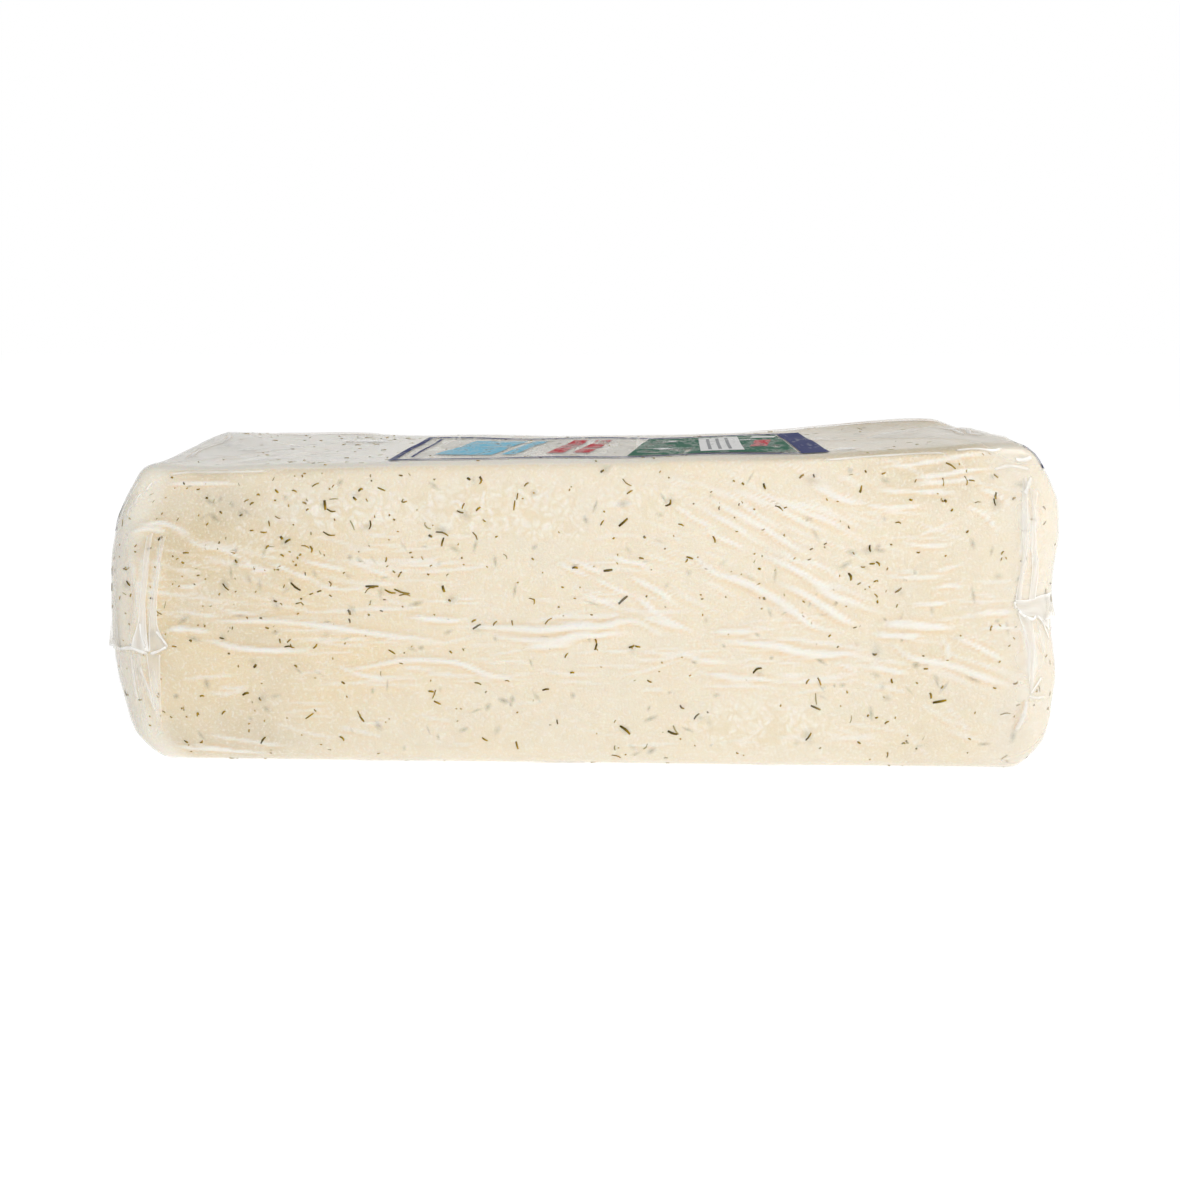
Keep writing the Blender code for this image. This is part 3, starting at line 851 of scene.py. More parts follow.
def pebbled(tree, tone, curd, clouds):
    """Cells with wavy walls where the curd shows: milky in the middle, warmer in the gaps."""
    place = mixed(tree, 0.0035, object_place(tree), noise(tree, 260.0, 0.0)["Color"], "LINEAR_LIGHT")
    cells = add(tree, "ShaderNodeTexVoronoi", {"Vector": place, "Scale": 370.0}, feature="F1")
    from_middle = cells.outputs["Distance"]
    middle = times(tree, ramped(tree, from_middle, 0.72, 0.10), curd)
    middle = times(tree, middle, ramped(tree, clouds, 0.25, 0.65, 0.35, 1.0))
    gap = times(tree, ramped(tree, from_middle, 0.45, 0.85), curd)
    tone = mixed(tree, times(tree, middle, 0.75), tone, PEBBLE_MILK)
    return mixed(tree, times(tree, gap, 0.65), tone, PEBBLE_GAP)


def cheese_finish():
    """Marks: how much curd shows, how much painted shade greys it, and how golden it is. Creases: how white
    (film haze and painted highlight, also the painted paler top and front-left corner), how much painted warm
    shade, and clouds.
    """
    material, tree, shader = start_material(
        "havarti", Roughness=0.36, Subsurface_Weight=0.3, Subsurface_Radius=LIGHT_REACH,
        Subsurface_Scale=LIGHT_SCALE, Coat_Weight=0.3, Coat_Roughness=0.2,
    )
    curd, grey, golden = read_marks(tree)[:3]
    white, warm_shade, clouds = read_marks(tree, "creases")[:3]
    drawn = times(tree, ramped(tree, use_group(tree, GRAIN, Size_mm=7.0), 0.50, 0.72), 0.20)
    mottle = use_group(tree, CLOUDS, Size_mm=0.9, Contrast=1.6)
    specks = times(tree, ramped(tree, mottle, 0.50, 0.80), 0.45)
    tone = mixed(tree, plus(tree, drawn, specks, clamp=True), CREAM, WARM_CREAM)
    # Painted shade: the grey mark greys the cheese, with random grey clouds added.
    cloud_grey_and_shade = plus(tree, times(tree, ramped(tree, clouds, 0.55, 1.0), 0.08), grey, clamp=True)
    tone = mixed(tree, golden, mixed(tree, cloud_grey_and_shade, tone, CLOUD_AND_SHADE_CREAM), GOLDEN_CREAM)
    milky = plus(tree, ramped(tree, clouds, 0.45, 0.0, 0.0, 0.22), ramped(tree, mottle, 0.50, 0.16))
    tone = mixed(tree, times(tree, milky, 0.5, clamp=True), tone, MILK)
    # Painted warm shade beside the creases, then the crease white with its painted highlight.
    tone = mixed(tree, warm_shade, pebbled(tree, tone, curd, clouds), CREASE_WARM_SHADE)
    tone = mixed(tree, white, tone, HAZE_AND_HIGHLIGHT_WHITE)
    feed(tree, shader, Base_Color=tone, Normal=fine_relief(tree, mottle, 0.5, 0.0003))
    return material


HAVARTI = cheese_finish()
print("finish of the cheese:", len(HAVARTI.node_tree.nodes), "nodes")

# %% Six joined grids
CHEESE_INSET = 0.35


def side_stations(half, radius, step):
    """Stations from -half to half: even steps on the flat, even turns round the two edges."""
    flat = half - radius
    turns = max(5, round(radius * np.pi / 4 / step))
    corner = flat + radius * np.tan(np.linspace(0, np.pi / 4, turns + 1)[1:])
    return np.concatenate([-corner[::-1], np.linspace(-flat, flat, round(2 * flat / step) + 1), corner])


FRONT, RIGHT_END, REAR, LEFT_END, TOP, BOTTOM = range(6)


def box_skin(step_x, step_y, step_z, sides=range(6)):
    """Points and faces of the box's sides; shared edge points are found equal and kept once."""
    xs = side_stations(HALF[0], UPRIGHT_RADIUS, step_x)
    ys = side_stations(HALF[1], UPRIGHT_RADIUS, step_y)
    zs = side_stations(HALF[2], BOTTOM_RADIUS, step_z)
    hx, hy, hz = HALF
    boxes, faces, first = [], [], 0
    grids = (
        (xs, zs, lambda a, b: (a, -hy, b)),
        (ys, zs, lambda a, b: (hx, a, b)),
        (-xs, zs, lambda a, b: (a, hy, b)),
        (-ys, zs, lambda a, b: (-hx, a, b)),
        (xs, ys, lambda a, b: (a, b, hz)),
        (xs, -ys, lambda a, b: (a, b, -hz)),
    )
    for side in sides:
        across, up, place = grids[side]
        a, b = np.meshgrid(across, up, indexing="ij")
        boxes.append(np.stack(np.broadcast_arrays(*place(a, b)), axis=-1).reshape(-1, 3))
        faces.append(grid_faces(1, *a.shape) + first)
        first += a.size
    box, where = np.unique(np.round(np.vstack(boxes), 4), axis=0, return_inverse=True)
    return box, where.reshape(-1)[np.vstack(faces)]


print("with steps of 20 mm the six grids share", len(box_skin(20, 20, 20)[0]), "points")

# %% Where the curd shows
# Patches where the curd shows, as (around, height, half width, half height, strength).
CURD_PATCHES = (
    (-78, 90, 26, 9, 1.0), (-104, 80, 16, 8, 0.8), (-30, 90, 34, 10, 0.95), (-8, 84, 14, 6, 0.9),
    (26, 92, 18, 6, 0.7), (-60, 55, 16, 5, 0.5), (62, 16, 26, 9, 0.8), (-128, 60, 12, 7, 0.6),
    (420, 84, 26, 9, 0.8), (350, 24, 20, 9, 0.6), (500, 90, 24, 7, 0.6), (-220, 84, 22, 9, 0.7),
    (215, 86, 20, 9, 0.7), (230, 22, 18, 8, 0.5), (-205, 20, 18, 8, 0.5),
)


def curd_mask(box):
    """How much the curd shows at each point: the strongest of the soft oval patches."""
    around, height = girth(box), height_of(box)
    mask = np.zeros(len(box))
    for at, up, wide, high, strength in CURD_PATCHES:
        oval = ((around - at) / wide) ** 2 + ((height - up) / high) ** 2
        mask = np.maximum(mask, strength * smooth_step(1.6, 0.2, oval))
    return mask * (np.abs(box[:, 2]) < HALF[2] - 1)


print("the curd shows in", len(CURD_PATCHES), "patches")

# %% How the tone drifts
def on_lid(box):
    """1 on the top face and 0 below its edge."""
    return smooth_step(105.2, 105.9, height_of(box))


def gentle_noise(points, size, seed, waves=14):
    """Smooth noise from -1 to 1: a sum of sine waves in random directions, size mm long or so."""
    rng = np.random.default_rng(seed)
    way = rng.normal(0, 1, (points.shape[-1], waves))
    way *= 2 * np.pi / size / np.linalg.norm(way, axis=0) * rng.uniform(0.6, 1.6, waves)
    total = np.sin(points @ way + rng.uniform(0, 2 * np.pi, waves)).sum(-1)
    return np.clip(total / np.sqrt(1.3 * waves), -1, 1)


def golden_mask(box):
    """The left third is more golden at mid height, unevenly, and a faint uneven golden tint lies everywhere.
    """
    around, height = girth(box), height_of(box)
    band = smooth_step(6, 30, height) * smooth_step(94, 70, height)
    left = smooth_step(-20, -75, around) * smooth_step(-300, -170, around)
    golden = 0.42 * band * left * (1 + 0.35 * gentle_noise(box, 38, 53))
    return golden + 0.07 * (1 + gentle_noise(box, 26, 56))


def small_clouds(box):
    """Clouds of about six millimetres with finer ones in them, from 0 to 1."""
    return np.clip(0.5 + 0.42 * gentle_noise(box, 7, 54, 30) + 0.3 * gentle_noise(box, 3, 55, 30), 0, 1)


def painted_shade_mask(box):
    """Painted shade: the left end is painted greyer, more so towards the top, where less lamp light reaches
    it; so are the right part of the top, the left ear between its pleats and the upper right of the front.
    """
    x, y, around, height = box[:, 0], box[:, 1], girth(box), height_of(box)
    left = smooth_step(-60, -118, x) * (0.55 + 0.45 * bell(height, 75, 14))
    left *= smooth_step(105.5, 104.5, height)
    left *= 1 - 0.85 * smooth_step(-144, -154, x) * smooth_step(96, 80, height)
    on_top = on_lid(box) * 0.7 * smooth_step(0, 110, x)
    in_ear = 0.6 * bell(around, -145, 9) * smooth_step(40, 48, height) * smooth_step(86, 78, height)
    at_right = (0.2 + 0.5 * smooth_step(84, 98, height)) * bell(x, 119, 24) * smooth_step(-40, -58, y)
    uneven = 0.8 + 0.3 * gentle_noise(box, 30, 51)
    return np.clip(np.maximum(left, on_top) * uneven + in_ear + at_right, 0, 1)


print("share of grey at the upper left of the front:", painted_shade_mask(belt(np.array([[-130.0, 75.0]]))).round(2))

# %% The cheese, with its creases
skin_box, skin_faces = box_skin(1.45, 3.2, 0.72)
white, warm_shade, crease_lift = laid_creases(crease_places(skin_box), creases)
x, y = skin_box[:, 0], skin_box[:, 1]
# Painted reflection: the top is painted paler from the left end to past the middle, as the film there mirrors
# the bright wall.
white = np.maximum(white, 0.6 * on_lid(skin_box) * smooth_step(100, -20, x))
# Painted light: the front-left corner, which turns away from the lamp, is painted paler.
white = np.maximum(white, 0.55 * smooth_step(-143, -155, x) * smooth_step(-25, -55, y))
cheese = make_piece(
    "cheese_block", on_loaf(skin_box, crease_lift - CHEESE_INSET), skin_faces, HAVARTI,
    marks=np.column_stack([curd_mask(skin_box), painted_shade_mask(skin_box), golden_mask(skin_box)]),
    creases=np.column_stack([white, warm_shade, small_clouds(skin_box)]),
)
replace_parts(cheese, "wrapped_loaf")

# %% [markdown]
# ## The film
# The shrunk bag touches the cheese nearly everywhere, so from straight ahead it can't be seen at
# all, and the creases show in the colour of what lies under it. What gives the film away is its
# reflection at flat angles, painted as a pale white veil, and haze where a little air or whey lies
# under it. A shell that is nearly clear holds both in its Alpha. It is as fine as the creases need,
# so it comes in two pieces.

# %% Finish of the film
FILM_WHITE = (0.960, 0.955, 0.935)
FILM_CLEAR = (0.830, 0.770, 0.640)
FILM_WARM_SHADE = (0.900, 0.720, 0.510)


def film_finish(name, sheen_veil):
    """Marks: how white, how much painted warm shade, how much it covers. The veil is a painted reflection and
    grows as the cube of the turn.
    """
    material, tree, shader = start_material(name, Roughness=0.3, Specular_IOR_Level=0.35)
    white, warm_shade, cover = read_marks(tree)[:3]
    # The warm mark is painted shade, beside the folds and between the streaks of loose film.
    tone = mixed(tree, warm_shade, mixed(tree, white, FILM_CLEAR, FILM_WHITE), FILM_WARM_SHADE)
    if sheen_veil:
        # Painted reflection: towards flat angles the film grows whiter and less clear, beside the real gloss
        # that the shader adds.
        edge = add(tree, "ShaderNodeLayerWeight", {"Blend": 0.25}).outputs["Facing"]
        cover = plus(tree, times(tree, calc(tree, "POWER", edge, 3.0), 0.22), cover, clamp=True)
    normal = fine_relief(tree, use_group(tree, GRAIN, Size_mm=1.4), 0.4, 0.0002)
    feed(tree, shader, Base_Color=tone, Alpha=cover, Normal=normal)
    return material


CLEAR_FILM, FOLDED_FILM = film_finish("clear_film", True), film_finish("folded_film", False)
print("two finishes of film:", CLEAR_FILM.name, "and", FOLDED_FILM.name)

# %% The film's shell in two pieces
def film_piece(name, sides):
    """One part of the shell: haze in soft clouds, more on top and at both ends, a little on every crease. At
    the left end the extra haze is painted light, which makes the corner paler where it turns away from the
    lamp.
    """
    box, faces = box_skin(0.9, 2.4, 0.6, sides)
    around = girth(box)
    white, _, lift = laid_creases(crease_places(box), creases)
    haze = 0.01 + 0.08 * smooth_step(0.25, 1.0, gentle_noise(box * [0.6, 0.6, 1.0], 15, 52))
    haze += 0.07 * on_lid(box) + 0.08 * white
    at_right = smooth_step(136, 150, around) * smooth_step(290, 270, around)
    # Painted light: the haze at the left end makes the corner paler where it turns away from the lamp.
    haze += 0.22 * at_right + 0.25 * smooth_step(-155, -164, around)
    marks = np.column_stack([1 - 0 * haze, 0 * haze, haze])
    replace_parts(make_piece(name, on_loaf(box, lift), faces, CLEAR_FILM, marks=marks), "wrapped_loaf")


film_piece("film_front", (FRONT, RIGHT_END, LEFT_END))
film_piece("film_rest", (REAR, TOP, BOTTOM))

# %% [markdown]
# ## The seals and their ears
# The bag was closed across both ends. When it shrank, each flat seal folded down round the end and
# left an ear on the front and on the back. A seal is two layers welded together, so it is stiff,
# milky and has one crisp edge. Pleats run into it from above and below.

# %% Seals round the ends
SEAL_START, SEAL_END, SEAL_STATIONS = -3.0, DEPTH + 20.0, 150


def seal_band(corner, towards, low, high, seed):
    """A band from the front corner round the end to the back ear, lifted most along its crisp edge."""
    steps = np.linspace(SEAL_START, SEAL_END, SEAL_STATIONS)
    rng = np.random.default_rng(seed)
    wobble = np.interp(steps, np.linspace(SEAL_START, SEAL_END, 26), rng.uniform(-1, 1, 26))
    up = np.linspace(0, 1, 9)
    tips = smooth_step(-3, 3, steps) * smooth_step(0, 5, SEAL_END - steps)
    lower, upper = low + 0.4 * wobble, low + 0.5 * wobble + tips * (high - low)
    if towards < 0:
        steps, lower, upper = steps[::-1], lower[::-1], upper[::-1]
    places = np.empty((SEAL_STATIONS, len(up), 2))
    places[..., 0] = (corner + towards * steps)[:, None]
    places[..., 1] = lower[:, None] + (upper - lower)[:, None] * up
    gathers = np.sin(steps / 1.3 + 1.5 * np.sin(steps / 8))[:, None]
    lift = 0.15 + 1.0 * (1 - up) ** 1.5 + 0.3 * gathers * (1 - up)
    crisp = bell(up, 0, 0.14)
    cover = (0.3 + 0.14 * gathers) * (1 - up**2) + 0.55 * crisp
    return patch(places, lift, (0.55 + 0.45 * crisp, 0.0, cover), belt)


print("a seal runs", SEAL_END - SEAL_START, "mm round its end")

# %% Pleats that run into the seals
def seal_pleats(corner, towards, seal, seed):
    """Pleats of uneven length and spacing above and below the seal, and the slanting edges of its flaps."""
    rng = np.random.default_rng(seed)
    steps = 9 + np.cumsum(rng.uniform(3.0, 12.0, 24))
    routes = []
    for step in steps[steps < DEPTH + 16]:
        outward = 0.10 * (step - DEPTH / 2)
        for way, reach in ((1, rng.uniform(7, 44)), (-1, rng.uniform(6, 27))):
            lean, bow = outward * reach / 30 + rng.normal(0, 2.2), rng.normal(0, 1.3)
            foot = seal + way * rng.uniform(0.5, 3.0)
            middle = (step + 0.5 * lean + bow, foot + 0.5 * way * reach)
            routes.append(((step, foot), middle, (step + lean, foot + way * reach)))
    for edge, inward in ((7, 1), (DEPTH - 7, -1)):
        routes.append(((edge, seal + 4), (edge + 13 * inward, seal + 20), (edge + 31 * inward, seal + 44)))
        routes.append(((edge, seal - 3), (edge + 15 * inward, seal - 14), (edge + 33 * inward, seal - 28)))
    pleats = []
    for i, route in enumerate(routes):
        stations = [(corner + towards * step, height) for step, height in route]
        look = (rng.uniform(1.1, 2.0), 0.22, rng.uniform(0.1, 0.5))
        pleats.append(fold(stations, *look, seed=seed + i, blunt=0.4, warm_shade=0.7))
    return pleats


seals = [seal_band(-HALF[0], -1, LEFT_SEAL, LEFT_SEAL + 9, 11)]
seals += [seal_band(HALF[0], 1, RIGHT_SEAL - 4, RIGHT_SEAL + 4, 12)]
seals += seal_pleats(-HALF[0], -1, LEFT_SEAL, 200) + seal_pleats(HALF[0], 1, RIGHT_SEAL, 300)
join_patches("seals_round_ends", seals, FOLDED_FILM)

# %% [markdown]
# ## The ears on the front
# At each end of the front the seal's corner was pressed flat. Above and below it the film gathers
# into flat pleats, which are bands of loose film with a bright rim on either side. A band is ruled
# between two measured routes: straight lines join their stations, and cover runs across it.

# %% Loose bands and crisp rims of film
def loose_film(first, second, cover, fade, lift=0.12, seed=0):
    """Ruled between two routes; the second lies to the right as you walk along the first."""
    longest = np.ptp(np.reshape(first, (-1, 2)), axis=0).max()
    share = np.linspace(0, 1, 2 + round(longest / 1.1))
    edges = []
    for stations in (first, second):
        route = smooth_route(stations)
        at = np.linspace(0, 1, len(route))
        edges.append(np.column_stack([np.interp(share, at, route[:, 0]), np.interp(share, at, route[:, 1])]))
    across = np.array([0.0, 0.05, 0.13, 0.25, 0.4, 0.55, 0.7, 0.84, 0.94, 1.0])[:, None]
    places = edges[0] + (edges[1] - edges[0]) * across[..., None]
    rims = 0.9 * bell(across, 0, 0.07) + 0.9 * bell(across, 1, 0.07)
    streaks = 0.5 + 0.5 * np.sin(9 * across + 2.5 * np.sin(5 * share + seed)) * np.cos(3 * share + seed)
    along_it = fade[0] + (fade[1] - fade[0]) * share
    covered = np.clip(along_it * (cover * (0.7 + 0.45 * streaks) + rims * (0.95 - cover)), 0, 0.95)
    bulge = lift * (0.35 + 0.65 * np.sin(np.pi * across)) * (1 + 0.3 * streaks)
    # The middle mark is painted warm shade between the bright streaks.
    return patch(places, bulge, (np.clip(0.75 + rims, 0, 1) + 0 * share, 0.12 * (1 - streaks), covered), belt)


def rim(stations, half_width, white=1.0, warm_shade=0.25, seed=0):
    """A crisp edge of film: a narrow fold that hardly thins at its ends."""
    return fold(stations, 1.3 * half_width, 0.06, white, seed=600 + seed, blunt=0.08, warm_shade=warm_shade)


made(loose_film, rim)

# %% Ears, measured on the front
# A band of loose film has two routes, how much it covers, how that fades from end to end, and its lift.
BANDS = (
    ((-153, 42, -149, 51, -148, 60, -147, 70, -147, 82),
     (-146, 41, -146, 51, -146, 60, -145, 70, -145, 83), 0.60, (1.3, 0.6)),
    ((-146, 41, -145, 51, -144, 60, -142, 70, -142, 82),
     (-139, 43, -142, 50, -142, 60, -141, 70, -140, 82), 0.42, (1.2, 0.7)),
    ((-153, 42, -152, 52, -151, 61, -153, 70, -157, 82),
     (-152, 42, -150, 52, -149, 61, -151, 70, -155, 82), 0.38, (0.8, 0.5)),
    ((-169, 41, -165, 52, -164, 64), (-161, 41, -161, 52, -162, 64), 0.55, (1.1, 0.3)),
    ((-156, 11, -152, 27, -152, 40), (-154, 11, -150, 27, -149, 40), 0.40, (0.3, 0.9)),
    ((-151, 11, -147, 23, -147, 40), (-149, 11, -144, 25, -142, 40), 0.40, (0.3, 0.9)),
    ((147, 57, 152, 57, 158, 58, 169, 58), (148, 54, 151, 52, 156, 51, 168, 46), 0.62, (1.0, 1.0), 0.20),
    ((147, 57, 148, 68, 147, 77, 148, 87, 152, 95),
     (149, 57, 149, 68, 149, 77, 150, 87, 154, 96), 0.60, (1.0, 0.6)),
    ((152, 57, 152, 66, 150, 75, 151, 85, 153, 93),
     (155, 57, 155, 66, 152, 75, 152, 85, 155, 91), 0.60, (1.0, 0.6)),
    ((151, 27, 150, 34, 151, 43, 148, 53), (152, 27, 152, 34, 154, 43, 154, 51), 0.60, (0.9, 0.9)),
    ((157, 38, 158, 43, 156, 50), (158, 38, 160, 43, 159, 49), 0.30, (0.4, 0.9)),
)
# A rim has its stations, its half width, then how white it is and how much warm shade is painted beside it.
RIMS = (
    ((-167, 41, -160, 41, -153, 42, -149, 41, -146, 40), 1.5), ((-146, 40, -143, 41, -139, 43), 1.2),
    ((-139, 43, -141, 46, -143, 49), 1.0), ((-147, 42, -148, 47, -148, 52), 1.0),
    ((-153, 40, -153, 31, -154, 23), 1.6, 0.3), ((-150, 36, -148, 27, -148, 19), 1.4, 0.3),
    ((148, 54, 150, 52, 154, 50.5, 156, 52), 1.3), ((156, 52, 159, 50, 162, 48, 167, 43), 1.1),
    ((150, 26, 154, 25, 159, 25), 1.3, 0.5), ((151, 26, 153, 29, 156, 32), 1.0, 0.8),
    ((150, 25, 150, 20, 149, 14), 1.5, 0.25, 1.0), ((147, 57, 147, 55, 148, 54), 1.1),
)
# Thin folds along the corners of the top, painted white as glints and gloss lines on these edges: stations
# and how white.
TOP_GLINTS = (
    ((-150, 103, -138, 104, -125, 104, -100, 104), 0.5), ((-154, 101, -155, 99, -155, 97), 0.6),
    ((-156, 97, -157, 95, -156, 92), 0.4), ((-157, 94, -158, 91, -157, 88), 0.3),
    ((-160, 101, -161, 94, -163, 86), 0.5), ((130, 105, 140, 105, 147, 104, 152, 105), 1.0),
    ((80, 104, 96, 105, 112, 105, 126, 104), 0.5), ((153, 101, 157, 101, 160, 102), 1.0),
    ((150, 90, 153, 93, 156, 96), 0.6), ((143, 98, 150, 99, 157, 98), 0.4),
)
ears = [loose_film(*band, seed=i) for i, band in enumerate(BANDS)]
ears += [rim(*row, seed=i) for i, row in enumerate(RIMS)]
ears += [rim(stations, 1.2, white, 0.2, 20 + i) for i, (stations, white) in enumerate(TOP_GLINTS)]
join_patches("ears_front", ears, FOLDED_FILM)

# %% Creases on the top and the bottom
TOP_FOLDS = (
    (96, 52, 118, 50, 138, 50, 150, 46), (60, 55, 90, 54, 124, 53), (151, 44, 153, 20, 151, -8, 154, -38),
    (146, 38, 148, 10, 146, -20), (-156, 48, -150, 20, -154, -10, -150, -44), (-140, 52, -110, 54, -80, 53),
)
level_folds = [fold(route, 2.6, 0.3, 0.6, lid, 540 + i) for i, route in enumerate(TOP_FOLDS)]
for to_box, count, seed in ((lid, 40, 22), (base, 44, 23)):
    fine = wrinkles(count, (-148, 148), (-52, 52), seed, 15, level)
    level_folds += [fold(*crease, to_box, seed + i, 0.45) for i, crease in enumerate(fine)]
join_patches("folds_top_bottom", level_folds, FOLDED_FILM)

# %% [markdown]
# ## The dill
# Chopped dill is thin stalk and feathery leaf, one to four millimetres long and a third of a
# millimetre thick, olive brown when dark and golden when thin. Flecks at the surface are crisp.
# Those a little deeper are grey-green and soft, because the cheese veils them. A fleck is a short
# bent stick with four sides and a point at each end, and all of them are worked out as one array.

# %% Finish of the dill
THIN_DILL, THICK_DILL = (0.470, 0.290, 0.002), (0.036, 0.026, 0.001)
SPECKLED_DILL, VEILED_DILL = (0.17, 0.125, 0.003), (0.43, 0.40, 0.24)


def dill_finish():
    """Marks: red is how dark, green how deep it lies."""
    material, tree, shader = start_material("dill", Roughness=0.6, Specular_IOR_Level=0.15)
    dark, deep = read_marks(tree)[:2]
    speckle = times(tree, use_group(tree, CLOUDS, Size_mm=0.9, Contrast=2.5), 0.3)
    tone = mixed(tree, speckle, mixed(tree, dark, THIN_DILL, THICK_DILL), SPECKLED_DILL)
    feed(tree, shader, Base_Color=mixed(tree, deep, tone, VEILED_DILL))
    return material


DILL = dill_finish()
print("finish of the dill:", len(DILL.node_tree.nodes), "nodes")

# %% One array of kinked sticks
STICK_SHARE = np.array([-0.97, -0.1, 0.35, 0.97])
STICK_GIRTH = np.array([0.82, 1.0, 0.95, 0.75])
SIDE_OFFSET = np.array([(1.0, 0.0), (0.0, 0.62), (-1.0, 0.0), (0.0, -0.62)])


def stick_faces(count):
    """A point, four rings of four corners and a point: three-sided ends and four-sided walls."""
    side = np.arange(4)
    turn = (side + 1) % 4
    ring = 1 + 4 * np.arange(3)[:, None]
    walls = np.stack([ring + side, ring + turn, ring + 4 + turn, ring + 4 + side], axis=-1).reshape(-1, 4)
    first = np.stack([np.zeros(4, int), turn + 1, side + 1, side + 1], axis=-1)
    last = np.stack([np.full(4, 17), 13 + side, 13 + turn, 13 + turn], axis=-1)
    faces = np.vstack([walls, first, last])
    return (faces[None] + 18 * np.arange(count)[:, None, None]).reshape(-1, 4)


def sticks(middle, length, angle, thick, bend, dark, deep, to_box):
    """All flecks of one face of the loaf: straight stalks with a kink, one end more golden."""
    count = len(middle)
    share = np.concatenate([[-1.0], np.repeat(STICK_SHARE, 4), [1.0]])
    offset = np.vstack([[0, 0], (STICK_GIRTH[:, None, None] * SIDE_OFFSET).reshape(-1, 2), [0, 0]])
    ahead, aside = (way[:, None] for way in ways(angle))
    forward = share * length[:, None] / 2
    sideways = bend[:, None] * length[:, None] * (0.5 - np.abs(share - 0.1)) + offset[:, 0] * thick[:, None]
    places = middle[:, None] + forward[..., None] * ahead + sideways[..., None] * aside
    lift = offset[:, 1] * thick[:, None] + (0.10 - CHEESE_INSET - 0.2 * deep)[:, None]
    golden = np.random.default_rng(count).uniform(0.0, 1.0, count)[:, None]
    tint = np.clip(dark[:, None] - golden * smooth_step(-0.5, 0.9, share), 0, 1)
    marks = np.stack([tint, np.broadcast_to(deep[:, None], tint.shape)], axis=-1).reshape(-1, 2)
    box = to_box(places.reshape(-1, 2))
    return {"box": box, "lift": lift.reshape(-1), "marks": marks, "faces": stick_faces(count)}


print("a fleck has", len(STICK_SHARE) * 4 + 2, "points and", len(stick_faces(1)), "faces")

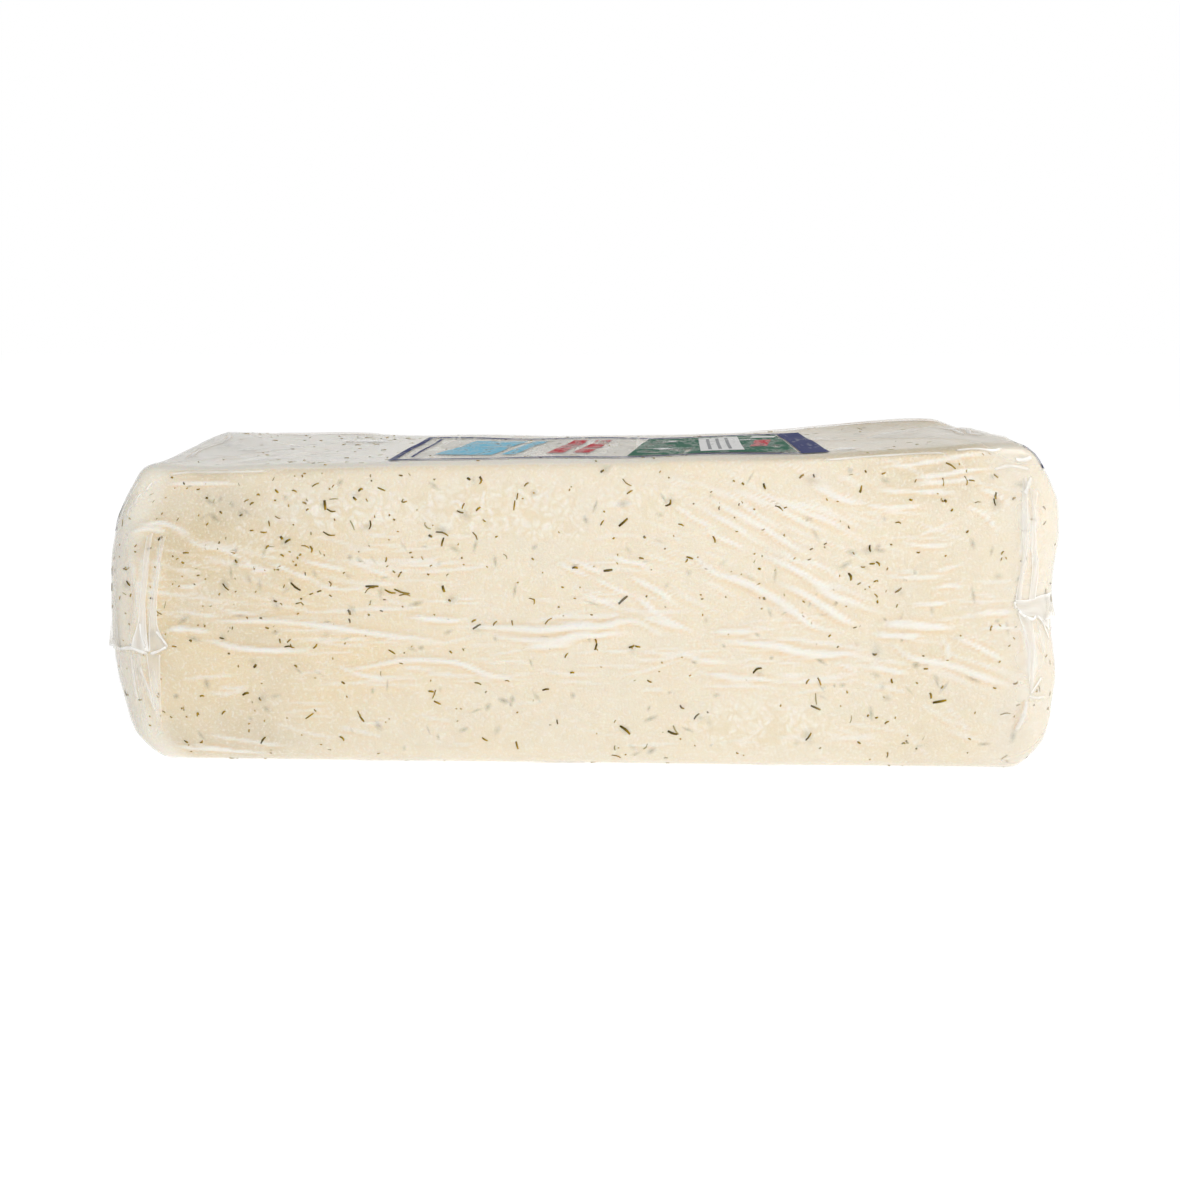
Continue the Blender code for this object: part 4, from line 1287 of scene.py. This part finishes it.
# %% Flecks that show most on the front, as (around, height, length, angle, dark)
FRONT_FLECKS = (
    (-83, 92, 3, -86, 2), (-81, 90, 2.7, -14, 2), (-71, 97, 1.5, 26, 2), (-64, 97, 2.5, -23, 1),
    (-73, 94, 1.4, -46, 2), (-68, 85, 2.7, -99, 2), (-82, 82, 3.8, -15, 2), (-90, 78, 2.5, -23, 1),
    (-88, 77, 2, -83, 1), (-104, 83, 2, 0, 1), (-96, 80, 2, 31, 2), (-98, 81, 1.2, -58, 2),
    (-103, 78, 1.5, 44, 1), (-102, 78, 2.7, 0, 0), (-114, 73, 1.2, -58, 2), (-115, 76, 1.4, -14, 1),
    (-120, 90, 1.2, -34, 2), (-112, 89, 1.1, 18, 2), (-110, 94, 1.8, 22, 1), (-108, 93, 1.5, 26, 1),
    (-142, 81, 1.7, 36, 2), (-154, 70, 3.2, 13, 1), (-127, 95, 1, -18, 2), (-140, 100, 1.2, -34, 2),
    (-147, 102, 1, -18, 1), (-99, 97, 1.4, -46, 1), (-93, 97, 1.5, -27, 1), (-86, 99, 2.3, 26, 1),
    (-125, 86, 1, 44, 1), (-132, 76, 2, 0, 1), (-125, 78, 2, -84, 0), (-98, 75, 1.2, -34, 1),
    (-102, 86, 1.7, -81, 1), (-99, 88, 1.8, -22, 1), (-80, 94, 2.7, 0, 0), (-74, 85, 3.2, -68, 0),
    (-35, 100, 1.2, -34, 2), (-31, 100, 1.5, -64, 2), (-31, 99, 1.5, -117, 1), (-16, 98, 1.7, 37, 1),
    (-19, 94, 2, -100, 1), (-20, 91, 3, -97, 1), (-37, 91, 1.8, -113, 1), (-38, 89, 2.1, -18, 2),
    (-32, 90, 1.7, 37, 1), (-30, 86, 1.2, -34, 1), (-49, 84, 2.4, -34, 0), (-48, 81, 1.2, -34, 2),
    (-44, 82, 3.9, -20, 2), (-44, 79, 2.8, -105, 2), (-33, 81, 2.7, -61, 1), (9, 102, 1.2, 34, 2),
    (17, 98, 3.3, -37, 1), (18, 95, 1.9, 31, 1), (16, 85, 3.5, 42, 2), (9, 85, 1.7, 54, 1),
    (31, 91, 2.4, 57, 2), (35, 84, 1.8, -22, 1), (46, 79, 2.1, -71, 1), (23, 80, 0.9, -45, 2),
    (0, 70, 1.7, 0, 2), (11, 69, 2.7, 8, 2), (38, 73, 2.1, -18, 1), (37, 72, 1.2, -123, 1),
    (44, 69, 1.9, -31, 1), (22, 73, 1.4, -14, 1), (-14, 73, 0.9, -45, 1), (-48, 71, 0.8, 27, 1),
    (-49, 68, 0.7, -27, 1), (-23, 74, 1.9, -60, 0), (74, 99, 1.6, 38, 1), (78, 99, 1, -70, 2),
    (52, 98, 0.7, -26, 1), (55, 97, 0.9, -44, 1), (62, 96, 1.8, -67, 2), (67, 89, 2.8, -35, 2),
    (69, 89, 1, 19, 1), (126, 100, 3.8, -30, 1), (132, 98, 0.9, 47, 1), (122, 95, 2.3, -95, 1),
    (131, 95, 2.6, -94, 1), (133, 95, 2, -9, 1), (143, 96, 1.4, -44, 1), (140, 90, 2.1, -114, 2),
    (139, 88, 2, -87, 2), (146, 89, 1.4, 28, 1), (122, 89, 0.9, -44, 2), (121, 89, 0.7, -26, 1),
    (124, 86, 0.9, 47, 1), (110, 90, 1, -18, 1), (106, 83, 1.7, -11, 1), (97, 75, 2, -79, 2),
    (104, 76, 0.7, -26, 1), (113, 73, 1, 0, 1), (98, 70, 1.6, 0, 1), (100, 70, 1.7, -52, 1),
    (95, 69, 1.3, 0, 1), (91, 66, 2.4, -72, 2), (62, 82, 1.2, 35, 1), (129, 79, 0.9, 47, 1),
    (141, 72, 1.2, -121, 1), (141, 70, 1, -105, 1), (156, 81, 1.6, 39, 1), (156, 86, 1.4, -44, 1),
    (148, 79, 1.9, 0, 1), (61, 69, 1, -18, 1), (-153, 65, 2.1, -40, 2), (-144, 60, 1.1, -19, 2),
    (-118, 64, 2.8, -47, 2), (-94, 64, 3.8, -39, 2), (-101, 59, 1.1, -18, 2), (-99, 58, 0.9, -46, 1),
    (-82, 65, 1.7, -81, 1), (-68, 64, 4, 0, 2), (-69, 63, 3.4, 24, 1), (-62, 62, 3.5, -17, 1),
    (-58, 62, 4.9, -16, 1), (-76, 55, 1.8, -70, 2), (-76, 52, 1.4, -78, 2), (-106, 53, 1.1, -19, 2),
    (-131, 45, 0.9, -47, 2), (-120, 46, 1.4, -14, 2), (-97, 43, 2.7, -7, 2), (-97, 45, 1.5, 44, 1),
    (-96, 43, 1.7, -38, 1), (-88, 43, 1.8, 52, 1), (-100, 45, 1.4, -79, 1), (-62, 41, 2.4, -34, 1),
    (-59, 37, 1.1, -19, 1), (-109, 36, 1.3, 55, 2), (-95, 36, 1, -47, 1), (-66, 33, 2.1, -82, 0),
    (-79, 30, 1.2, -35, 1), (-113, 26, 2.2, 19, 2), (-108, 24, 1.2, -59, 2), (-129, 25, 1.4, 1, 1),
    (-122, 19, 1.8, 37, 1), (-91, 18, 3.1, 36, 1), (-89, 20, 1, -47, 1), (-74, 19, 1.9, -70, 1),
    (-73, 17, 2.2, -53, 1), (-80, 10, 1.9, -47, 1), (-108, 9, 2.8, 50, 2), (-135, 8, 1.6, 27, 1),
    (-142, 8, 1.1, -19, 2), (-145, 19, 1, -47, 1), (-143, 17, 0.8, -27, 1), (-153, 23, 1.5, 15, 1),
    (-44, 63, 2.1, -73, 2), (-42, 59, 0.9, -46, 2), (-57, 61, 3.4, -5, 1), (16, 59, 3.6, 42, 2),
    (-14, 59, 2.4, -57, 1), (-33, 50, 2.8, 30, 2), (-34, 52, 1.5, 27, 1), (-27, 51, 2.2, 52, 1),
    (-21, 51, 2.1, -81, 1), (-9, 52, 2.7, 40, 1), (7, 45, 1.4, -76, 1), (7, 43, 2.2, -108, 2),
    (19, 43, 1.8, 23, 2), (21, 43, 1.7, -11, 1), (-3, 40, 1.7, 54, 1), (-42, 41, 1, -46, 1),
    (-1, 34, 1.3, 1, 1), (-49, 27, 1.7, -11, 1), (-48, 26, 3, -111, 1), (-47, 23, 2.3, -27, 1),
    (-10, 28, 2.1, 10, 2), (-33, 30, 2.1, -19, 1), (-23, 31, 1.4, -14, 1), (17, 14, 4.1, -42, 2),
    (33, 13, 3.2, -18, 2), (34, 14, 3.3, -58, 0), (41, 19, 2.4, 47, 2), (36, 22, 1.7, -37, 2),
    (25, 31, 1.5, -27, 1), (14, 4, 3.1, -27, 1), (-20, 8, 2.6, -75, 1), (-31, 10, 2, -32, 1),
    (24, 8, 2.2, -127, 0), (59, 64, 4.3, -9, 2), (75, 54, 1.4, 15, 1), (76, 53, 2.2, -38, 2),
    (107, 61, 2.3, 35, 1), (139, 48, 1.5, 67, 1), (61, 35, 3, 28, 2), (57, 32, 1.7, -37, 1),
    (78, 31, 1.7, 55, 1), (82, 31, 2.6, -66, 1), (81, 25, 3.5, -83, 0), (81, 22, 3.3, -24, 2),
    (100, 40, 1.3, 1, 2), (106, 31, 1.4, -74, 1), (119, 26, 1.8, -77, 1), (122, 24, 4, 11, 2),
    (144, 20, 3, 7, 1), (146, 30, 1.5, 29, 1), (79, 12, 2.9, 57, 2), (93, 18, 2.5, 84, 0),
    (105, 17, 1.5, 29, 1), (117, 35, 1.3, 1, 1), (96, 10, 1.2, -34, 1), (55, 6, 0.8, -27, 1),
    (83, 8, 0.8, 29, 0), (151, 5, 2, -117, 1),
)
print(len(FRONT_FLECKS), "flecks are listed")

# %% Flecks everywhere else
def scattered_flecks(count, across, up, seed, to_box, pale, keep=None):
    """Random flecks in a loose scatter of clusters; a few are V-shaped pairs at one place."""
    rng = np.random.default_rng(seed)
    spots = random_places(rng, count, across, up)
    heart = random_places(rng, count // 14, across, up)
    pulled = heart[rng.integers(0, len(heart), count)] + rng.normal(0, 6.5, (count, 2))
    spots = np.where((rng.random(count) < 0.34)[:, None], pulled, spots)
    paired = rng.random(count) < 0.12
    spots[1:] = np.where(paired[1:, None], spots[:-1] + rng.normal(0, 0.5, (count - 1, 2)), spots[1:])
    low, high = np.transpose([across, up])
    inside = np.all((spots > low) & (spots < high), axis=1)
    if keep is not None:
        inside &= keep(spots)
    spots = spots[inside]
    n = len(spots)
    length = np.clip(rng.lognormal(0.42, 0.42, n), 0.8, 4.6) * (0.55 if keep else 1.0)
    thick = rng.uniform(0.20, 0.38, n) * (0.85 if keep else 1.0)
    deep = np.where(rng.random(n) < pale, rng.uniform(0.45, 0.85, n), 0.10 * rng.random(n))
    angle, bend, dark = rng.uniform(0, np.pi, n), rng.normal(0, 0.08, n), rng.beta(2.0, 1.7, n)
    return sticks(spots, length, angle, thick, bend, dark, deep, to_box)


def measured_flecks():
    """The listed flecks, with a little random thickness and bend."""
    spots, length, angle, kind = np.split(np.array(FRONT_FLECKS, float), [2, 3, 4], axis=1)
    length, angle, kind = length[:, 0], np.radians(angle[:, 0]), kind[:, 0]
    rng = np.random.default_rng(31)
    thick = np.where(kind == 2, 0.38, 0.29) * rng.uniform(0.65, 1.2, len(kind))
    dark, deep = np.where(kind == 2, 0.95, 0.50), np.where(kind == 0, 0.65, 0.0)
    return sticks(spots, 1.12 * length, angle, thick, rng.normal(0, 0.13, len(kind)), dark, deep, belt)


def away_from_listed(spots):
    """True for the spots that are more than 3 mm from every listed fleck."""
    listed = np.array(FRONT_FLECKS, float)[:, :2]
    return np.linalg.norm(spots[:, None] - listed, axis=-1).min(axis=1) > 3.0


def golden_crumbs(count, across, up, seed, to_box):
    """Leaf crumbs less than a millimetre long, so thin that they look golden."""
    rng = np.random.default_rng(seed)
    spots = random_places(rng, count, across, up)
    thick, length = rng.uniform(0.16, 0.27, count), rng.uniform(0.45, 0.9, count)
    angle, deep = rng.uniform(0, np.pi, count), 0.1 * rng.random(count)
    return sticks(spots, length, angle, thick, 0 * thick, 0 * thick, deep, to_box)


made(scattered_flecks, measured_flecks, away_from_listed, golden_crumbs)

# %% Lay all the flecks
# Count, range across, range up, seed, face of the loaf, share of deep ones, and what to keep.
SCATTERED = (
    (170, (-158, 158), (2, 104), 32, belt, 0.35, away_from_listed),
    (150, (-162, -40), (48, 103), 39, belt, 0.35, away_from_listed),
    (40, (20, 110), (54, 100), 40, belt, 0.2, away_from_listed),
    (210, (160, 282), (3, 104), 33, belt, 0.3), (560, (282, 604), (3, 104), 34, belt, 0.3),
    (210, (-282, -160), (3, 104), 35, belt, 0.3), (300, (-150, 60), (-57, 57), 36, lid, 0.6),
    (50, (60, 150), (-57, 57), 38, lid, 0.95), (560, (-156, 156), (-56, 56), 37, base, 0.3),
)
CRUMBS = ((110, (-158, 158), (4, 103), 71, belt), (110, (282, 604), (4, 103), 72, belt))
flecks = [golden_crumbs(*row) for row in CRUMBS] + [measured_flecks()]
flecks += [scattered_flecks(*row) for row in SCATTERED]
join_patches("dill_flecks", flecks, DILL)

# %% [markdown]
# ## Dill seen through the cheese
# Deeper dill shows only as a soft grey-green shade. Each shade is a small grid just above the
# cheese whose cover fades to nothing at its rim, so no edge shows.

# %% Soft shades
SHADE_GREEN, SHADE_LIFT = (0.42, 0.42, 0.33, 1.0), -0.27


def shade_finish():
    """One grey-green; only its cover changes, and that is the blue mark."""
    material, tree, shader = start_material("dill_shade", Base_Color=SHADE_GREEN, Roughness=0.6)
    feed(tree, shader, Alpha=read_marks(tree)[2])
    return material


def soft_spots(spots, long, short, angle, strength, lift, to_box, size=5):
    """Many small grids at once: an oval whose cover falls off smoothly from the middle."""
    t = np.linspace(-1, 1, size)
    a, b = np.meshgrid(t, t, indexing="ij")
    ahead, aside = (way[:, None, None] for way in ways(angle))
    forward = a[None, ..., None] * ahead * long[:, None, None, None]
    sideways = b[None, ..., None] * aside * short[:, None, None, None]
    cover = strength[:, None, None] * smooth_step(1.0, 0.0, np.sqrt(a**2 + b**2))
    return patch(spots[:, None, None] + forward + sideways, lift, (0.0, 0.0, cover), to_box)


def scattered_shades(count, across, up, seed, to_box):
    """Ovals of random size, turn and strength at random places."""
    rng = np.random.default_rng(seed)
    spots = random_places(rng, count, across, up)
    long, short = rng.uniform(0.9, 3.2, count), rng.uniform(0.5, 1.5, count)
    angle, strength = rng.uniform(0, np.pi, count), rng.uniform(0.12, 0.5, count)
    return soft_spots(spots, long, short, angle, strength, SHADE_LIFT, to_box)


def shades_by_listed():
    """A wide, faint shade round one in two of the dark listed flecks, where more dill lies deeper."""
    table = np.array([row for row in FRONT_FLECKS if row[4] == 2][::2], float)
    rng = np.random.default_rng(47)
    count = len(table)
    spots = table[:, :2] + rng.normal(0, 0.9, (count, 2))
    size = rng.uniform(1.8, 3.6, count)
    angle, strength = rng.uniform(0, np.pi, count), rng.uniform(0.12, 0.32, count)
    return soft_spots(spots, size, 0.7 * size, angle, strength, SHADE_LIFT, belt)


# Count, range across, range up, seed and face of the loaf.
SHADES = (
    (170, (-155, 155), (5, 101), 41, belt), (40, (165, 278), (6, 100), 42, belt),
    (120, (288, 600), (6, 100), 43, belt), (40, (-278, -165), (6, 100), 44, belt),
    (130, (-152, 152), (-52, 52), 45, lid), (90, (-150, 150), (-50, 50), 46, base),
)
join_patches("dill_shades", [shades_by_listed()] + [scattered_shades(*row) for row in SHADES], shade_finish())

# %% [markdown]
# ## Painted reflections on the film
# Where the film stands off the top in small bulges, it mirrors the lamp. These reflections are
# painted as soft white patches; the largest lie beside the print.

# %% Painted reflections on the top
SHEEN_WHITE = (0.93, 0.93, 0.92, 1.0)


def sheen_finish():
    """A painted reflection: a pale veil whose cover is the blue mark, broken up by the wear streaks."""
    material, tree, shader = start_material("painted_sheen_on_film", Base_Color=SHEEN_WHITE, Roughness=0.25)
    uneven = ramped(tree, use_group(tree, STREAKS, Amount=0.8, Size_mm=5.0), 0.0, 1.0, 0.35, 1.0)
    feed(tree, shader, Alpha=times(tree, read_marks(tree)[2], uneven, clamp=True))
    return material


# x, y, half length, half width, strength.
SHEEN_ON_TOP = np.array([
    (-84, 20, 16, 9, 0.9), (-128, -8, 14, 7, 0.5), (90, -44, 7, 6, 0.9), (88, 0, 8, 14, 0.4),
    (120, 12, 22, 14, 0.25), (-110, -38, 22, 9, 0.5), (146, 30, 8, 14, 0.5), (-146, 10, 8, 24, 0.4),
    (30, -22, 5, 9, 0.85), (33, 14, 9, 4, 0.8), (60, 8, 3, 12, 0.6), (24, 30, 12, 3, 0.6),
])
spots, long, short, strength = np.split(SHEEN_ON_TOP, [2, 3, 4], axis=1)
angle = 0.1 * np.arange(len(spots))
sheen_spots = soft_spots(spots, long[:, 0], short[:, 0], angle, strength[:, 0], 0.2, lid, 13)
join_patches("painted_sheen_patches", [sheen_spots], sheen_finish())

# %% [markdown]
# ## The print on the film
# The panel on the top is a plain one: a navy frame round a few slanted blocks. Each block is a
# patch of ink between two curves, so it bends with the skin. Ink on shrunk film cracks and fades
# in streaks, which the wear mask gives.

# %% Inks
INK_NAVY, INK_BLUE, INK_GREEN = (0.030, 0.040, 0.160), (0.190, 0.560, 0.760), (0.012, 0.125, 0.070)
INK_RED, INK_WHITE, INK_GREY = (0.560, 0.030, 0.045), (0.840, 0.840, 0.830), (0.330, 0.340, 0.350)
INK_UNDERLAY, INK_SCUFFED, INK_CLOUDED = (0.86, 0.85, 0.82), (0.72, 0.73, 0.71), (0.5, 0.52, 0.52)


def ink_finish(name, tone, worn, size, cover=0.97):
    """Flat colour that lets the film through where it is worn, with a paler, scuffed rim there."""
    material, tree, shader = start_material(name, Roughness=0.55, Specular_IOR_Level=0.02)
    wear = use_group(tree, STREAKS, Amount=worn, Size_mm=size)
    scuff = use_group(tree, STREAKS, Amount=worn * 1.5, Size_mm=size)
    clouds = use_group(tree, CLOUDS, Size_mm=14.0, Contrast=1.6)
    tone = mixed(tree, times(tree, scuff, 0.3), tone, INK_SCUFFED)
    tone = mixed(tree, times(tree, clouds, 0.06), tone, INK_CLOUDED)
    whole = calc(tree, "SUBTRACT", cover, times(tree, wear, 0.88 * cover), clamp=True)
    feed(tree, shader, Base_Color=tone, Alpha=whole)
    return material


made(ink_finish)

# %% Blocks of ink
INK_LIFT = 0.06


def ink_block(corners, lift=INK_LIFT, to_box=lid, step=2.0):
    """A four-cornered patch: two rows of corners, joined by straight lines along and across."""
    a, b, c, d = (np.array(corner, float) for corner in corners)
    rows = max(2, round(max(np.linalg.norm(b - a), np.linalg.norm(c - d)) / step) + 1)
    columns = max(2, round(max(np.linalg.norm(d - a), np.linalg.norm(c - b)) / step) + 1)
    s, t = np.linspace(0, 1, rows)[:, None, None], np.linspace(0, 1, columns)[None, :, None]
    places = (1 - s) * (1 - t) * a + s * (1 - t) * b + s * t * c + (1 - s) * t * d
    return patch(places, lift, (0.0, 0.0, 1.0), to_box)


def slanted_block(x0, x1, y0, y1, slant=0.0, lift=INK_LIFT, to_box=lid):
    """A block with level edges whose sides lean by slant mm."""
    return ink_block(((x0, y0), (x1, y0), (x1 + slant, y1), (x0 + slant, y1)), lift, to_box)


print("a block of 10 by 30 mm has", len(slanted_block(0, 10, 0, 30)["faces"]), "faces")

# %% Panel of the print
LEFT, RIGHT, NEAR, FAR = -63.0, 84.0, -52.0, 38.0
# Bars of the frame: left, right, near, far.
FRAME_BARS = (
    (LEFT, RIGHT, NEAR, NEAR + 3.0), (LEFT, RIGHT, FAR - 4.4, FAR), (LEFT, LEFT + 2.2, NEAR, FAR),
    (RIGHT - 2.2, RIGHT, NEAR, FAR), (RIGHT - 9, RIGHT - 2.2, NEAR + 2.4, FAR - 2.4),
    (LEFT + 6, LEFT + 7, NEAR + 10, FAR - 10),
)
END_FRAMES = ((-215, -170, 82, 94), (164, 210, 98, 107))
bars = [slanted_block(*bar) for bar in FRAME_BARS]
for first, last, low, high in END_FRAMES:
    bars += [slanted_block(*bar, to_box=belt) for bar in (
        (first, first + 2.4, low, high), (last - 2.4, last, low, high),
        (first, last, low, low + 1.2), (first, last, high - 1.2, high),
    )]
join_patches("print_navy", bars, ink_finish("ink_navy", INK_NAVY, 0.35, 8.0))

RED_BARS = ((-11, -5, -36, 24, 7), (-2, 4, -36, 24, 7), (60, 66, -22, 4, 4, 0.12))
WHITE_BARS = ((42, 57, -38, 26), (63, 72, 16, 25))
# Name, blocks, ink, how worn, size of the wear in mm and how much the ink covers.
FIELDS = (
    ("underlay", [slanted_block(LEFT + 2, 20, NEAR + 3, FAR - 4, lift=0.03)], INK_UNDERLAY, 0.6, 12.0, 0.4),
    ("blue", [slanted_block(*bar, -34, 22, 8) for bar in ((-50, -30), (-27, -22))], INK_BLUE, 0.5, 9.0),
    ("red", [slanted_block(*bar) for bar in RED_BARS], INK_RED, 0.55, 7.0),
    ("green", [ink_block(((17, -46), (74, -46), (74, 32), (25, 32)))], INK_GREEN, 0.45, 10.0),
    ("white", [slanted_block(*bar, 2, 0.12) for bar in WHITE_BARS], INK_WHITE, 0.3, 6.0),
    ("grey", [slanted_block(x, x + 1.2, -32, 20, 1.6, 0.17) for x in (45, 48.5, 52)], INK_GREY, 0.4, 5.0),
)
for name, blocks, *ink in FIELDS:
    join_patches(f"print_{name}", blocks, ink_finish(f"ink_{name}", *ink))
